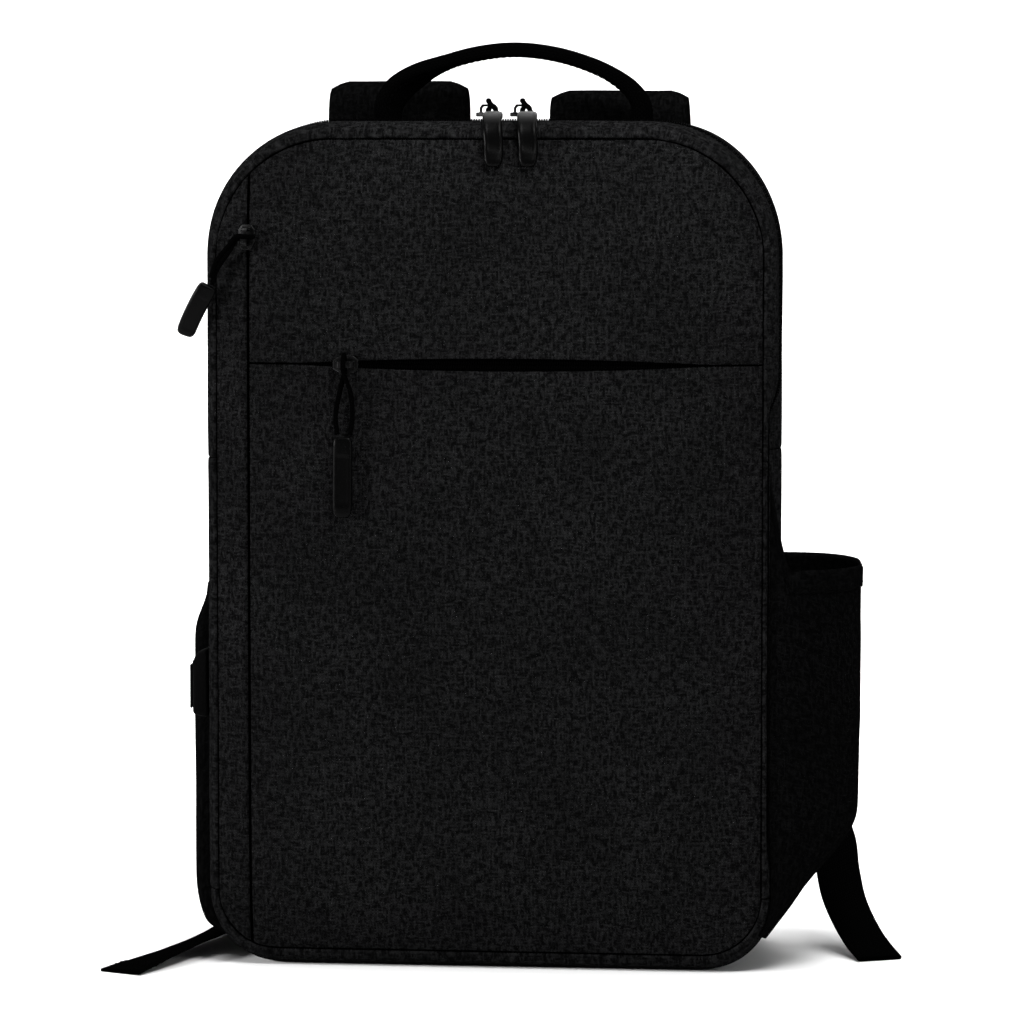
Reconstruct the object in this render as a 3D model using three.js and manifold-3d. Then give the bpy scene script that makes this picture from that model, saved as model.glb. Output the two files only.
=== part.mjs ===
// Laptop backpack: a hollow bag of cloth panels with zips, straps, a carry handle and side pockets.
// Millimetres. X is to the viewer's right, the front faces -Y, Z is up, and the base stands at Z = 0.
import * as THREE from "three";
import { mergeVertices } from "three/addons/utils/BufferGeometryUtils.js";
import Module from "manifold-3d";

const wasm = await Module();
wasm.setup();

// Body: the front and back seams run round a rounded rectangle, and the gusset joins them
const seamWidth = 284;
const seamHeight = 420;
const bodyDepth = 120;
const topCornerRadius = 62;
const bottomCornerRadius = 32;
const sideRoll = 4.5;
const endRoll = 7;
const frontBulge = 13;
const backBulge = 3;
const frontWall = 2.4;
const gussetWall = 1.8;
const backWall = 10;
const seamGap = 0.4;
const seatGap = 0.35;

// Zips
const mainZipSetback = 40;
const mainZipEndHeight = 262;
const zipTapeWidth = 14;
const zipTapeWall = 1.2;
const zipChainWidth = 5;
const zipChainHeight = 1.5;
const sideZipInset = 19.5;
const sideZipGap = 0.8;
const sideZipBottom = 40;
const sideZipTopDrop = 35;
const frontZipHeight = 311;
const frontZipLeft = -94;
const frontZipRight = 112;
const frontZipOpening = 5.6;
const frontTapeHeight = 16;
const tapeGap = 0.8;

// Zip sliders and their pulls
const sliderLength = 13;
const sliderWidth = 9;
const sliderPlate = 2.2;
const sliderBridgeWidth = 3.4;
const sliderEye = 3;
const sliderBridge = 1.2;
const pullCordDiameter = 2;
const gripWidth = 10;
const gripThickness = 4.6;
const frontSliderX = -71;
const sideSliderDrop = 17;
const mainSliderCentre = 4.8;
const mainSliderSpacing = 17.6;
const mainGripDrop = 23;
const mainPullLean = 6;
const frontCordLength = 35.5;
const frontGripLength = 41;
const sideCordLength = 22.6;
const sideGripLength = 25.4;

// Carry handle
const handleHalfSpan = 67;
const handleRise = 37;
const handleThickness = 7.4;
const handleWidth = 18;
const handleSetback = 104;

// Shoulder straps, buckles and webbing
const strapWidth = 73;
const strapThickness = 11;
const strapEndHeight = 152;
const strapStandOff = 38;
const strapSplay = 50;
const leftStrapX = 61.5;
const leftStrapPeak = 21;
const rightStrapX = 58;
const rightStrapPeak = 16;
const webbingWidth = 25;
const webbingThickness = 1.5;
const lockWidth = 33;
const lockLength = 27;
const lockThickness = 3.4;
const lockDrop = 24;
const tabWebThickness = 1.2;
const anchorLength = 34;
const anchorBase = 42;
const anchorThickness = 2.4;
const anchorHeight = 38;
const anchorSetIn = 28;

// Side pockets and the charging port
const pocketWall = 1.3;
const pocketSeat = 0.8;
const cornerReach = 0.25;
const bottlePocketRim = 206;
const bottlePocketCorner = 254;
const bottlePocketBulge = 40.4;
const bottlePocketTaper = 0.87;
const bottlePocketFoot = 22;
const bottlePocketTurn = 56;
const bottlePocketFront = 4;
const bottlePocketBack = 110;
const slipPocketRim = 196;
const slipPocketBulge = 6.2;
const slipPocketFoot = 22;
const slipPocketTurn = 16;
const slipPocketFront = 30;
const slipPocketBack = 112;
const dentDepth = 9;
const dentBottom = 46;
const dentTop = 304;
const dentFade = 48;
const portHeight = 36;
const portDepth = 13;
const portThickness = 8;
const portBottom = 127;
const portSetback = 10;
const portCoverThickness = 1.2;
const portCoverMargin = 3;

// Worked out from the sizes above
const halfWidth = seamWidth / 2;
const seamBottom = endRoll;
const seamTop = seamBottom + seamHeight;
const crown = seamTop + endRoll;
const frontY = -bodyDepth / 2;
const backY = bodyDepth / 2;
const mainZipY = frontY + mainZipSetback;
const sideZipX = -halfWidth + sideZipInset;
const sideZipTop = seamTop - sideZipTopDrop;
const sideSliderHeight = sideZipTop - sideSliderDrop;
const panelInset = gussetWall + seamGap;

// How far the gusset stands outside the seam outline, along the depth from front seam to back seam
const rollTable = [
  { depth: 0, side: 0, end: 0 },
  { depth: 0.03, side: 0.5, end: 0.62 },
  { depth: 0.09, side: 1, end: 1 },
  { depth: 0.3, side: 0.92, end: 1 },
  { depth: 0.62, side: 0.55, end: 1 },
  { depth: 0.91, side: 0.4, end: 1 },
  { depth: 0.97, side: 0.25, end: 0.62 },
  { depth: 1, side: 0, end: 0 },
];

// Materials, one for each finish
const makeMaterial = (color, roughness, metalness = 0) =>
  new THREE.MeshStandardMaterial({ color, roughness, metalness });
const materials = {
  heatherCloth: makeMaterial(0x1c1c1d, 0.92),
  blackCloth: makeMaterial(0x0e0e0f, 0.9),
  airMesh: makeMaterial(0x121213, 0.95),
  webbing: makeMaterial(0x0c0c0d, 0.8),
  zipTape: makeMaterial(0x0b0b0c, 0.85),
  mouldedRubber: makeMaterial(0x0a0a0b, 0.5),
  mouldedPlastic: makeMaterial(0x0d0d0e, 0.45),
  blackMetal: makeMaterial(0x17171a, 0.35, 0.8),
};

const backpack = new THREE.Group();

function addPiece(name, geometry, material) {
  const piece = new THREE.Mesh(geometry, material);
  piece.name = name;
  backpack.add(piece);
}

const vector = (x, y, z) => new THREE.Vector3(x, y, z);
const mix = THREE.MathUtils.lerp;
const easeStep = THREE.MathUtils.smoothstep;

// Reads one column of a table whose rows are sorted by the key column
function readTable(table, key, value, column) {
  const next = table.findIndex((row) => row[key] >= value);
  if (next <= 0) {
    return next < 0 ? table[table.length - 1][column] : table[0][column];
  }
  const low = table[next - 1];
  const high = table[next];
  return mix(low[column], high[column], (value - low[key]) / (high[key] - low[key]));
}

// A geometry with its faces pointing out, whichever way the grid that made it ran
function outwardGeometry(points, index) {
  let volume = 0;
  for (let i = 0; i < index.length; i += 3) {
    const [a, b, c] = [points[index[i]], points[index[i + 1]], points[index[i + 2]]];
    volume += a.dot(b.clone().cross(c));
  }
  if (volume < 0) {
    index.reverse();
  }
  const geometry = new THREE.BufferGeometry().setFromPoints(points);
  geometry.setIndex(index);
  geometry.computeVertexNormals();
  return geometry;
}

// A closed sheet of cloth between an outer and an inner grid of points
function sheetGeometry(outer, inner) {
  const rows = outer.length;
  const columns = outer[0].length;
  const points = [...outer.flat(), ...inner.flat()];
  const index = [];
  const at = (side, i, j) => (side * rows + i) * columns + j;
  const quad = (a, b, c, d) => index.push(a, b, c, a, c, d);
  for (let i = 0; i + 1 < rows; i++) {
    for (let j = 0; j + 1 < columns; j++) {
      quad(at(0, i, j), at(0, i, j + 1), at(0, i + 1, j + 1), at(0, i + 1, j));
      quad(at(1, i, j), at(1, i + 1, j), at(1, i + 1, j + 1), at(1, i, j + 1));
    }
    const last = columns - 1;
    quad(at(0, i, 0), at(0, i + 1, 0), at(1, i + 1, 0), at(1, i, 0));
    quad(at(0, i, last), at(1, i, last), at(1, i + 1, last), at(0, i + 1, last));
  }
  for (let j = 0; j + 1 < columns; j++) {
    const last = rows - 1;
    quad(at(0, 0, j), at(1, 0, j), at(1, 0, j + 1), at(0, 0, j + 1));
    quad(at(0, last, j), at(0, last, j + 1), at(1, last, j + 1), at(1, last, j));
  }
  return outwardGeometry(points, index);
}

// A closed body through convex sections of equal point count
function loftGeometry(sections) {
  const count = sections[0].length;
  const points = sections.flat();
  const index = [];
  for (let i = 0; i + 1 < sections.length; i++) {
    for (let j = 0; j < count; j++) {
      const a = i * count + j;
      const b = i * count + ((j + 1) % count);
      index.push(a, b, b + count, a, b + count, a + count);
    }
  }
  const end = (sections.length - 1) * count;
  for (let j = 1; j + 1 < count; j++) {
    index.push(0, j + 1, j, end, end + j, end + j + 1);
  }
  return outwardGeometry(points, index);
}

// Rows with a point and other columns, made smooth and resampled
function smoothRows(rows, steps) {
  const curve = new THREE.CatmullRomCurve3(rows.map((row) => row.point));
  const columns = Object.keys(rows[0]).filter((key) => key !== "point" && key !== "across");
  return Array.from({ length: steps + 1 }, (_, k) => {
    const place = (k / steps) * (rows.length - 1);
    const low = Math.min(Math.floor(place), rows.length - 2);
    const [from, to] = [rows[low], rows[low + 1]];
    const station = { point: curve.getPoint(k / steps) };
    station.across = from.across.clone().lerp(to.across, place - low);
    columns.forEach((key) => (station[key] = mix(from[key], to[key], place - low)));
    return station;
  });
}

// A flat strip along stations: each has a point, the way across, a width and a thickness
function stripGeometry(stations, cornerShare) {
  const sections = stations.map((station, i) => {
    const before = stations[Math.max(i - 1, 0)].point;
    const after = stations[Math.min(i + 1, stations.length - 1)].point;
    const along = after.clone().sub(before).normalize();
    const through = along.clone().cross(station.across).normalize();
    const across = through.clone().cross(along).normalize();
    const wide = station.width / 2;
    const thick = station.thickness / 2;
    const corner = thick * cornerShare;
    const profile = cornerShare > 0
      ? [[wide, thick - corner], [wide - corner, thick], [corner - wide, thick], [-wide, thick - corner],
        [-wide, corner - thick], [corner - wide, -thick], [wide - corner, -thick], [wide, corner - thick]]
      : [[wide, thick], [-wide, thick], [-wide, -thick], [wide, -thick]];
    return profile.map(([a, t]) =>
      station.point.clone().addScaledVector(across, a).addScaledVector(through, t));
  });
  return loftGeometry(sections);
}

// How far an arc reaches at a distance from its centre
const arcReach = (radius, distance) => Math.sqrt(Math.max(radius ** 2 - distance ** 2, 0));

// Seam outline: half width of the rounded rectangle at a height, drawn in by an inset
function outlineHalfWidth(z, inset) {
  const high = z - (seamTop - topCornerRadius);
  const low = seamBottom + bottomCornerRadius - z;
  if (high > 0) {
    return halfWidth - topCornerRadius + arcReach(topCornerRadius - inset, high);
  }
  if (low > 0) {
    return halfWidth - bottomCornerRadius + arcReach(bottomCornerRadius - inset, low);
  }
  return halfWidth - inset;
}

// Seam outline: lowest and highest Z at a place across, drawn in by an inset
function outlineEnd(x, inset, radius, seam, upwards) {
  const beyond = Math.abs(x) - (halfWidth - radius);
  const reach = radius - inset;
  const rise = beyond > 0 ? arcReach(reach, beyond) : reach;
  return seam - upwards * (radius - rise);
}
const panelTop = (x) => outlineEnd(x, panelInset, topCornerRadius, seamTop, 1);
const panelBottom = (x) => outlineEnd(x, panelInset, bottomCornerRadius, seamBottom, -1);

// Share of a panel's full crown at a place: none at the seam, soft at the edges, full in the middle.
// The powers say how flat the middle is, and the crown is a little fuller low down
const crownPowers = { across: 4, up: 7 };
const crownTopLoss = 0.12;
function crownShare(x, z) {
  const middle = (seamBottom + seamTop) / 2;
  const across = Math.min(Math.abs(x) / Math.max(outlineHalfWidth(z, panelInset), 1), 1);
  const up = Math.min(Math.abs(z - middle) / (seamHeight / 2 - panelInset), 1);
  const fuller = 1 - crownTopLoss * (z - middle) / seamHeight;
  return (1 - across ** crownPowers.across) * (1 - up ** crownPowers.up) * fuller;
}
const frontFace = (x, z) => frontY - frontBulge * crownShare(x, z);
const backFace = (x, z) => backY + backBulge * crownShare(x, z);

// The way out of the front at a place
function frontOut(x, z) {
  const step = 1;
  const slopeX = (frontFace(x + step, z) - frontFace(x - step, z)) / (2 * step);
  const slopeZ = (frontFace(x, z + step) - frontFace(x, z - step)) / (2 * step);
  return vector(slopeX, -1, slopeZ).normalize();
}

// A panel of the front or back: columns across, each from its low edge to its high edge
function panelGeometry({ left, right, low, high, columns, rows, face, wall }) {
  const edge = halfWidth - panelInset;
  const middle = (seamBottom + seamTop) / 2;
  const reach = seamHeight / 2;
  const turn = (place, limit) => Math.asin(THREE.MathUtils.clamp(place / limit, -1, 1));
  const outer = [];
  const inner = [];
  for (let i = 0; i <= columns; i++) {
    const x = edge * Math.sin(mix(turn(left, edge), turn(right, edge), i / columns));
    const [from, to] = [turn(low(x) - middle, reach), turn(high(x) - middle, reach)];
    const heights = Array.from({ length: rows + 1 }, (_, j) =>
      middle + reach * Math.sin(mix(from, to, j / rows)));
    outer.push(heights.map((z) => vector(x, face(x, z), z)));
    inner.push(heights.map((z) => vector(x, face(x, z) + wall, z)));
  }
  return sheetGeometry(outer, inner);
}

// The zip pocket's slit: half its height at a place across, a lens between its two ends
function slitHalfHeight(x) {
  const middle = (frontZipLeft + frontZipRight) / 2;
  const reach = (frontZipRight - frontZipLeft) / 2;
  const share = Math.min(Math.abs(x - middle) / reach, 1);
  return seamGap / 2 + (frontZipOpening / 2) * (1 - share ** 2);
}

function addFrontPanels() {
  const edge = halfWidth - panelInset;
  const main = { left: sideZipX + sideZipGap / 2, right: edge, face: frontFace, wall: frontWall };
  addPiece("front_upper_panel", panelGeometry({
    ...main, low: (x) => frontZipHeight + slitHalfHeight(x), high: panelTop, columns: 14, rows: 6,
  }), materials.heatherCloth);
  addPiece("front_lower_panel", panelGeometry({
    ...main, low: panelBottom, high: (x) => frontZipHeight - slitHalfHeight(x), columns: 14, rows: 10,
  }), materials.heatherCloth);
  addPiece("front_side_panel", panelGeometry({
    left: -edge, right: sideZipX - sideZipGap / 2, low: panelBottom, high: panelTop,
    columns: 3, rows: 16, face: frontFace, wall: frontWall,
  }), materials.heatherCloth);
}

// Zip tapes lie behind the front panels, as close as a seam lets them
function addFrontTapes() {
  const behind = (x, z) => frontFace(x, z) + frontWall + tapeGap;
  addPiece("front_zip_tape", panelGeometry({
    left: frontZipLeft - frontTapeHeight / 2, right: frontZipRight + frontTapeHeight / 2,
    low: () => frontZipHeight - frontTapeHeight / 2, high: () => frontZipHeight + frontTapeHeight / 2,
    columns: 10, rows: 2, face: behind, wall: zipTapeWall,
  }), materials.zipTape);
  const tapeSide = zipTapeWidth / 2;
  addPiece("side_zip_tape", panelGeometry({
    left: sideZipX - tapeSide, right: sideZipX + tapeSide, low: () => sideZipBottom, high: () => sideZipTop,
    columns: 2, rows: 14, face: behind, wall: zipTapeWall,
  }), materials.zipTape);
}

// How deep the right side of the gusset is pressed in, at the side pocket. The depth shares say where
// the dent starts behind the front seam, is full, fades and ends
const dentShares = { start: 0.04, full: 0.24, fade: 0.7, end: 0.9 };
function sideDent(x, y, z) {
  const rising = easeStep(z, dentBottom, dentBottom + dentFade);
  const along = rising * (1 - easeStep(z, dentTop - dentFade, dentTop));
  const share = THREE.MathUtils.clamp((y - frontY) / bodyDepth, 0, 1);
  const { start, full, fade, end } = dentShares;
  const across = easeStep(share, start, full) * (1 - easeStep(share, fade, end));
  return x > 0 ? dentDepth * along * across : 0;
}

// The gusset's outer face at a station of the outline and a place in the depth
function gussetPoint(station, y, lift) {
  const depth = (y - frontY) / bodyDepth;
  const side = sideRoll * readTable(rollTable, "depth", depth, "side");
  const end = endRoll * readTable(rollTable, "depth", depth, "end");
  const [nx, nz] = [station.normal.x, station.normal.z];
  const dent = sideDent(station.x, y, station.z) * nx ** 2;
  const reach = side * nx ** 2 + end * nz ** 2 - dent + lift;
  return vector(station.x + nx * reach, y, station.z + nz * reach);
}

const outlineStation = (x, z, nx, nz) => ({ x, z, normal: vector(nx, 0, nz) });

function cornerStations(side, radius, centreZ, fromTurn, toTurn, steps) {
  const centreX = side * (halfWidth - radius);
  return Array.from({ length: steps + 1 }, (_, k) => {
    const turn = THREE.MathUtils.degToRad(mix(fromTurn, toTurn, k / steps));
    const [nx, nz] = [side * Math.cos(turn), Math.sin(turn)];
    return outlineStation(centreX + radius * nx, centreZ + radius * nz, nx, nz);
  });
}

// The station of a side at a height, which turns under with the bottom corner
function stationAtHeight(side, z) {
  const cornerZ = seamBottom + bottomCornerRadius;
  if (z >= cornerZ) {
    return outlineStation(side * halfWidth, z, side, 0);
  }
  const turn = Math.asin(Math.min((cornerZ - z) / bottomCornerRadius, 1));
  const [nx, nz] = [side * Math.cos(turn), -Math.sin(turn)];
  const centreX = side * (halfWidth - bottomCornerRadius);
  return outlineStation(centreX + bottomCornerRadius * nx, z, nx, nz);
}

function sideStations(side, low, high, steps) {
  return Array.from({ length: steps + 1 }, (_, k) =>
    outlineStation(side * halfWidth, mix(low, high, k / steps), side, 0));
}

// Over the top: up the left side from the zip's end, round both corners and down the right side
function archStations() {
  const cornerZ = seamTop - topCornerRadius;
  const flat = halfWidth - topCornerRadius;
  const middle = [-0.5, 0, 0.5].map((share) => outlineStation(share * flat, seamTop, 0, 1));
  return [
    ...sideStations(-1, mainZipEndHeight, cornerZ, 4).slice(0, -1),
    ...cornerStations(-1, topCornerRadius, cornerZ, 0, 90, 7),
    ...middle,
    ...cornerStations(1, topCornerRadius, cornerZ, 90, 0, 7),
    ...sideStations(1, cornerZ, mainZipEndHeight, 4).slice(1),
  ];
}

// Under the base: round the left corner, along the floor and round the right corner
function baseStations() {
  const cornerZ = seamBottom + bottomCornerRadius;
  return [
    ...cornerStations(-1, bottomCornerRadius, cornerZ, 0, -90, 5),
    ...cornerStations(1, bottomCornerRadius, cornerZ, -90, 0, 5),
  ];
}

// A band of the gusset along stations, between two places in the depth
function bandGeometry(stations, fromY, toY, wall, lift = 0) {
  const depths = rollTable.map((row) => frontY + row.depth * bodyDepth);
  const inside = depths.filter((y) => y > fromY + wall && y < toY - wall);
  const places = [fromY, ...inside, toY];
  const outer = stations.map((station) => places.map((y) => gussetPoint(station, y, lift)));
  const inner = stations.map((station) => places.map((y) => gussetPoint(station, y, lift - wall)));
  return sheetGeometry(outer, inner);
}

function addGusset() {
  const arch = archStations();
  const tapeEdge = zipTapeWidth / 2;
  addPiece("gusset_front_band",
    bandGeometry(arch, frontY, mainZipY - tapeEdge - seamGap, gussetWall), materials.heatherCloth);
  addPiece("gusset_back_band",
    bandGeometry(arch, mainZipY + tapeEdge + seamGap, backY, gussetWall), materials.heatherCloth);
  addPiece("main_zip_tape",
    bandGeometry(arch, mainZipY - tapeEdge, mainZipY + tapeEdge, zipTapeWall), materials.zipTape);
  const chainEdge = zipChainWidth / 2;
  addPiece("main_zip_chain", bandGeometry(arch.slice(1, -1), mainZipY - chainEdge, mainZipY + chainEdge,
    zipChainHeight, zipChainHeight + seatGap), materials.zipTape);
  const sideLow = seamBottom + bottomCornerRadius + seamGap;
  const sideHigh = mainZipEndHeight - seamGap;
  for (const [name, side] of [["left", -1], ["right", 1]]) {
    const stations = sideStations(side, sideLow, sideHigh, 9);
    const band = bandGeometry(stations, frontY, backY, gussetWall);
    addPiece(`gusset_side_${name}`, band, materials.heatherCloth);
  }
  addPiece("base_panel", bandGeometry(baseStations(), frontY, backY, gussetWall), materials.heatherCloth);
}

function addBackPanel() {
  const edge = halfWidth - panelInset;
  const inside = (x, z) => backFace(x, z) - backWall;
  addPiece("back_panel", panelGeometry({
    left: -edge, right: edge, low: panelBottom, high: panelTop,
    columns: 12, rows: 10, face: inside, wall: backWall,
  }), materials.airMesh);
}

// Boolean help: a closed geometry as a solid, and back
function toSolid(geometry) {
  const plain = geometry.clone();
  plain.deleteAttribute("normal");
  plain.deleteAttribute("uv");
  const merged = mergeVertices(plain);
  return new wasm.Manifold(new wasm.Mesh({
    numProp: 3,
    vertProperties: new Float32Array(merged.getAttribute("position").array),
    triVerts: new Uint32Array(merged.getIndex().array),
  }));
}

function fromSolid(solid) {
  const mesh = solid.getMesh();
  const geometry = new THREE.BufferGeometry();
  geometry.setAttribute("position", new THREE.BufferAttribute(new Float32Array(mesh.vertProperties), 3));
  geometry.setIndex(new THREE.BufferAttribute(new Uint32Array(mesh.triVerts), 1));
  geometry.computeVertexNormals();
  return geometry;
}

// A closed outline through corners
function outlineShape(corners, Kind = THREE.Shape) {
  return new Kind(corners.map(([x, y]) => new THREE.Vector2(x, y))).closePath();
}

// A slider on its own axes: X along the zip, Y across it, Z away from the cloth.
// The plan's rows are shares of the plate's half length and half width
const sliderPlan = [
  { along: -1, across: 0.5 },
  { along: -0.4, across: 1 },
  { along: 0.6, across: 1 },
  { along: 1, across: 0.55 },
];
const sliderBridgeShares = { reach: 0.72, flat: 0.7, eyeFlat: 0.8, shoulder: 1.5, eyeShoulder: 1.8 };
function sliderGeometry() {
  const [long, wide] = [sliderLength / 2, sliderWidth / 2];
  const flank = (side) => sliderPlan.map(({ along, across }) => [along * long, side * across * wide]);
  const plan = outlineShape([...flank(-1), ...flank(1).toReversed()]);
  const plate = new THREE.ExtrudeGeometry(plan, { depth: sliderPlate, bevelEnabled: false });
  const top = sliderPlate + sliderEye + sliderBridge;
  const shares = sliderBridgeShares;
  const reach = long * shares.reach;
  const sunk = sliderPlate / 2;
  const shoulder = top - sliderBridge * shares.shoulder;
  const side = outlineShape([
    [-reach, sunk], [reach, sunk], [reach, shoulder],
    [reach * shares.flat, top], [-reach * shares.flat, top], [-reach, shoulder],
  ]);
  const eyeReach = reach - sliderBridge;
  const eyeShoulder = top - sliderBridge * shares.eyeShoulder;
  const eyeTop = top - sliderBridge;
  side.holes.push(outlineShape([
    [-eyeReach, sliderPlate], [-eyeReach, eyeShoulder], [-eyeReach * shares.eyeFlat, eyeTop],
    [eyeReach * shares.eyeFlat, eyeTop], [eyeReach, eyeShoulder], [eyeReach, sliderPlate],
  ], THREE.Path));
  const bridge = new THREE.ExtrudeGeometry(side, { depth: sliderBridgeWidth, bevelEnabled: false });
  bridge.rotateX(Math.PI / 2).translate(0, sliderBridgeWidth / 2, 0);
  return fromSolid(toSolid(plate).add(toSolid(bridge)));
}

// A grip along its length: its ends narrow to a rounded tip
const gripTable = [
  { share: 0, width: 0.5, thickness: 0.9 },
  { share: 0.1, width: 0.92, thickness: 0.98 },
  { share: 0.3, width: 1, thickness: 1 },
  { share: 0.9, width: 0.96, thickness: 0.99 },
  { share: 1, width: 0.5, thickness: 0.9 },
];
const gripRounding = 0.55;

// Slider, its cord loop and its grip. The cord goes through the eye under the bridge and back over it
function addPull(name, { foot, along, out, slide, cordRoute, gripRoute, gripAcross }) {
  const across = out.clone().cross(along).normalize();
  const basis = new THREE.Matrix4().makeBasis(across.clone().cross(out), across, out);
  const slider = sliderGeometry().applyMatrix4(basis).translate(foot.x, foot.y, foot.z);
  addPiece(`${name}_slider`, slider, materials.blackMetal);
  const radius = pullCordDiameter / 2;
  const eyeLift = sliderPlate + sliderEye / 2;
  const overLift = sliderPlate + sliderEye + sliderBridge + radius + seatGap;
  const eyeReach = sliderBridgeWidth / 2;
  const at = (down, lift, aside) => foot.clone()
    .addScaledVector(slide, down).addScaledVector(out, lift).addScaledVector(along, aside);
  const turnBack = pullCordDiameter * 1.3;
  const strandLift = radius * 0.8;
  const loop = [
    ...cordRoute.toReversed().map(({ point, spread }) => point.clone().addScaledVector(along, -spread)),
    at(eyeReach + radius, eyeLift, 0),
    at(-eyeReach, eyeLift, 0),
    at(-eyeReach - turnBack, mix(eyeLift, overLift, 0.5), 0),
    at(-eyeReach, overLift, 0),
    at(eyeReach + radius, overLift, 0),
    ...cordRoute.map(({ point, spread }) => point.clone().addScaledVector(along, spread)
      .addScaledVector(out, strandLift)),
  ];
  const circle = new THREE.Shape().absarc(0, 0, radius, 0, Math.PI * 2);
  const cord = new THREE.ExtrudeGeometry(circle, {
    curveSegments: 3, steps: 30, bevelEnabled: false, extrudePath: new THREE.CatmullRomCurve3(loop),
  });
  addPiece(`${name}_pull_cord`, mergeVertices(stripToPosition(cord)), materials.webbing);
  const last = gripRoute.length - 1;
  const grip = smoothRows(gripRoute.map((point, i) => ({
    point, across: gripAcross, width: gripWidth, thickness: gripThickness, share: i / last,
  })), 10);
  grip.forEach((station) => {
    station.width *= readTable(gripTable, "share", station.share, "width");
    station.thickness *= readTable(gripTable, "share", station.share, "thickness");
  });
  addPiece(`${name}_pull_grip`, stripGeometry(grip, gripRounding), materials.mouldedRubber);
}

function stripToPosition(geometry) {
  geometry.deleteAttribute("normal");
  geometry.deleteAttribute("uv");
  return geometry;
}

// Main zip pulls: ahead is the share of the way from the zip to the front seam, lift the share of a
// grip's thickness above the crown, drop the share of the grip's fall below it, lean the share sideways
const mainCordTable = [
  { ahead: 0.225, lift: 1.22, lean: 0.3, spread: 0.8 },
  { ahead: 0.388, lift: 0.75, lean: 0.45, spread: 1.2 },
];
const mainGripTable = [
  { ahead: 0.425, lift: 0.58, drop: 0, lean: 0.5 },
  { ahead: 0.675, lift: 0.58, drop: 0, lean: 0.7 },
  { ahead: 0.95, lift: 0.23, drop: 0, lean: 0.8 },
  { ahead: 1.08, lift: 0, drop: 0.196, lean: 0.9 },
  { ahead: 1.12, lift: 0, drop: 0.565, lean: 1 },
  { ahead: 1.185, lift: 0, drop: 1, lean: 1 },
];

// Main zip: two sliders on the crown, with pulls laid forwards over the top edge
function addMainPulls() {
  const top = crown + zipChainHeight + seatGap * 2;
  [["main_left", -1], ["main_right", 1]].forEach(([name, side]) => {
    const x = mainSliderCentre + side * mainSliderSpacing / 2;
    const at = ({ ahead, lift, drop, lean }) => vector(
      x + lean * mainPullLean, mainZipY - ahead * mainZipSetback,
      crown + lift * gripThickness - (drop ?? 0) * mainGripDrop);
    addPull(name, {
      foot: vector(x, mainZipY, top), along: vector(1, 0, 0), out: vector(0, 0, 1), slide: vector(0, -1, 0),
      cordRoute: mainCordTable.map((row) => ({ point: at(row), spread: row.spread * pullCordDiameter })),
      gripRoute: mainGripTable.map(at),
      gripAcross: vector(1, 0, 0),
    });
  });
}

// Front pocket pull: down is the share of the cord's length, aside and spread are in cord diameters
const frontCordTable = [
  { down: 0.394, aside: 0, clear: 0.3, spread: 1.3 },
  { down: 0.732, aside: 0.3, clear: 0, spread: 1.7 },
  { down: 1, aside: 0.4, clear: 0, spread: 1.1 },
];

// Front pocket zip: the pull hangs down the front
function addFrontPull() {
  const lift = gripThickness / 2 + seatGap * 2;
  const at = (aside, down, extra = 0) => {
    const [x, z] = [frontSliderX - aside * pullCordDiameter, frontZipHeight - down];
    return vector(x, frontFace(x, z) - lift - extra * pullCordDiameter, z);
  };
  const gripTop = frontCordLength + seatGap * 4;
  addPull("front", {
    foot: vector(frontSliderX, frontFace(frontSliderX, frontZipHeight) - seatGap, frontZipHeight),
    along: vector(1, 0, 0), out: frontOut(frontSliderX, frontZipHeight), slide: vector(0, 0, -1),
    cordRoute: frontCordTable.map(({ down, aside, clear, spread }) => (
      { point: at(aside, down * frontCordLength, clear), spread: spread * pullCordDiameter })),
    gripRoute: [0, 0.33, 0.67, 1].map((share) => at(0.7 + share * 0.2, gripTop + share * frontGripLength)),
    gripAcross: vector(1, 0, 0),
  });
}

// Side pull. Out is the share of the way from the side zip to the bag's edge, ahead is in cord diameters
// before the front seam, and down is the share of the cord's or the grip's fall
const sideCordTable = [
  { out: 0.462, ahead: 4.4, down: 0.265, spread: 0.7 },
  { out: 0.82, ahead: 2.75, down: 0.664, spread: 1 },
  { out: 0.938, ahead: 3, down: 1, spread: 0.9 },
];
const sideGripTable = [
  { out: 1.02, ahead: 3, down: 0 },
  { out: 1.282, ahead: 2.25, down: 0.331 },
  { out: 1.538, ahead: 0.75, down: 0.685 },
  { out: 1.744, ahead: -1.25, down: 1 },
];

// Side zip: the pull leans out over the left edge
function addSidePull() {
  const x = sideZipX;
  const z = sideSliderHeight;
  const at = ({ out, ahead }, height) =>
    vector(x - out * sideZipInset, frontY - ahead * pullCordDiameter, height);
  const gripTop = z - sideCordLength - pullCordDiameter;
  addPull("side", {
    foot: vector(x, frontFace(x, z) - seatGap, z), along: vector(0, 0, 1), out: frontOut(x, z),
    slide: vector(-1, 0.2, 0),
    cordRoute: sideCordTable.map((row) => (
      { point: at(row, z - row.down * sideCordLength), spread: row.spread * pullCordDiameter })),
    gripRoute: sideGripTable.map((row) => at(row, gripTop - row.down * sideGripLength)),
    gripAcross: vector(0.82, 0.3, -0.5).normalize(),
  });
}

// Half of the carry handle, from its foot to the top of the arch: a short upright leg and a shallow arch
const handleTable = [
  { across: 1, up: 0, width: 0.8, thickness: 1.5 },
  { across: 1, up: 0.2, width: 0.84, thickness: 1.36 },
  { across: 0.93, up: 0.42, width: 0.88, thickness: 1.2 },
  { across: 0.75, up: 0.66, width: 0.93, thickness: 1.04 },
  { across: 0.5, up: 0.85, width: 0.97, thickness: 1 },
  { across: 0.25, up: 0.96, width: 0.99, thickness: 1 },
];
const handleTop = { across: 0, up: 1, width: 1, thickness: 1 };
const handleRounding = 0.6;

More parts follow.
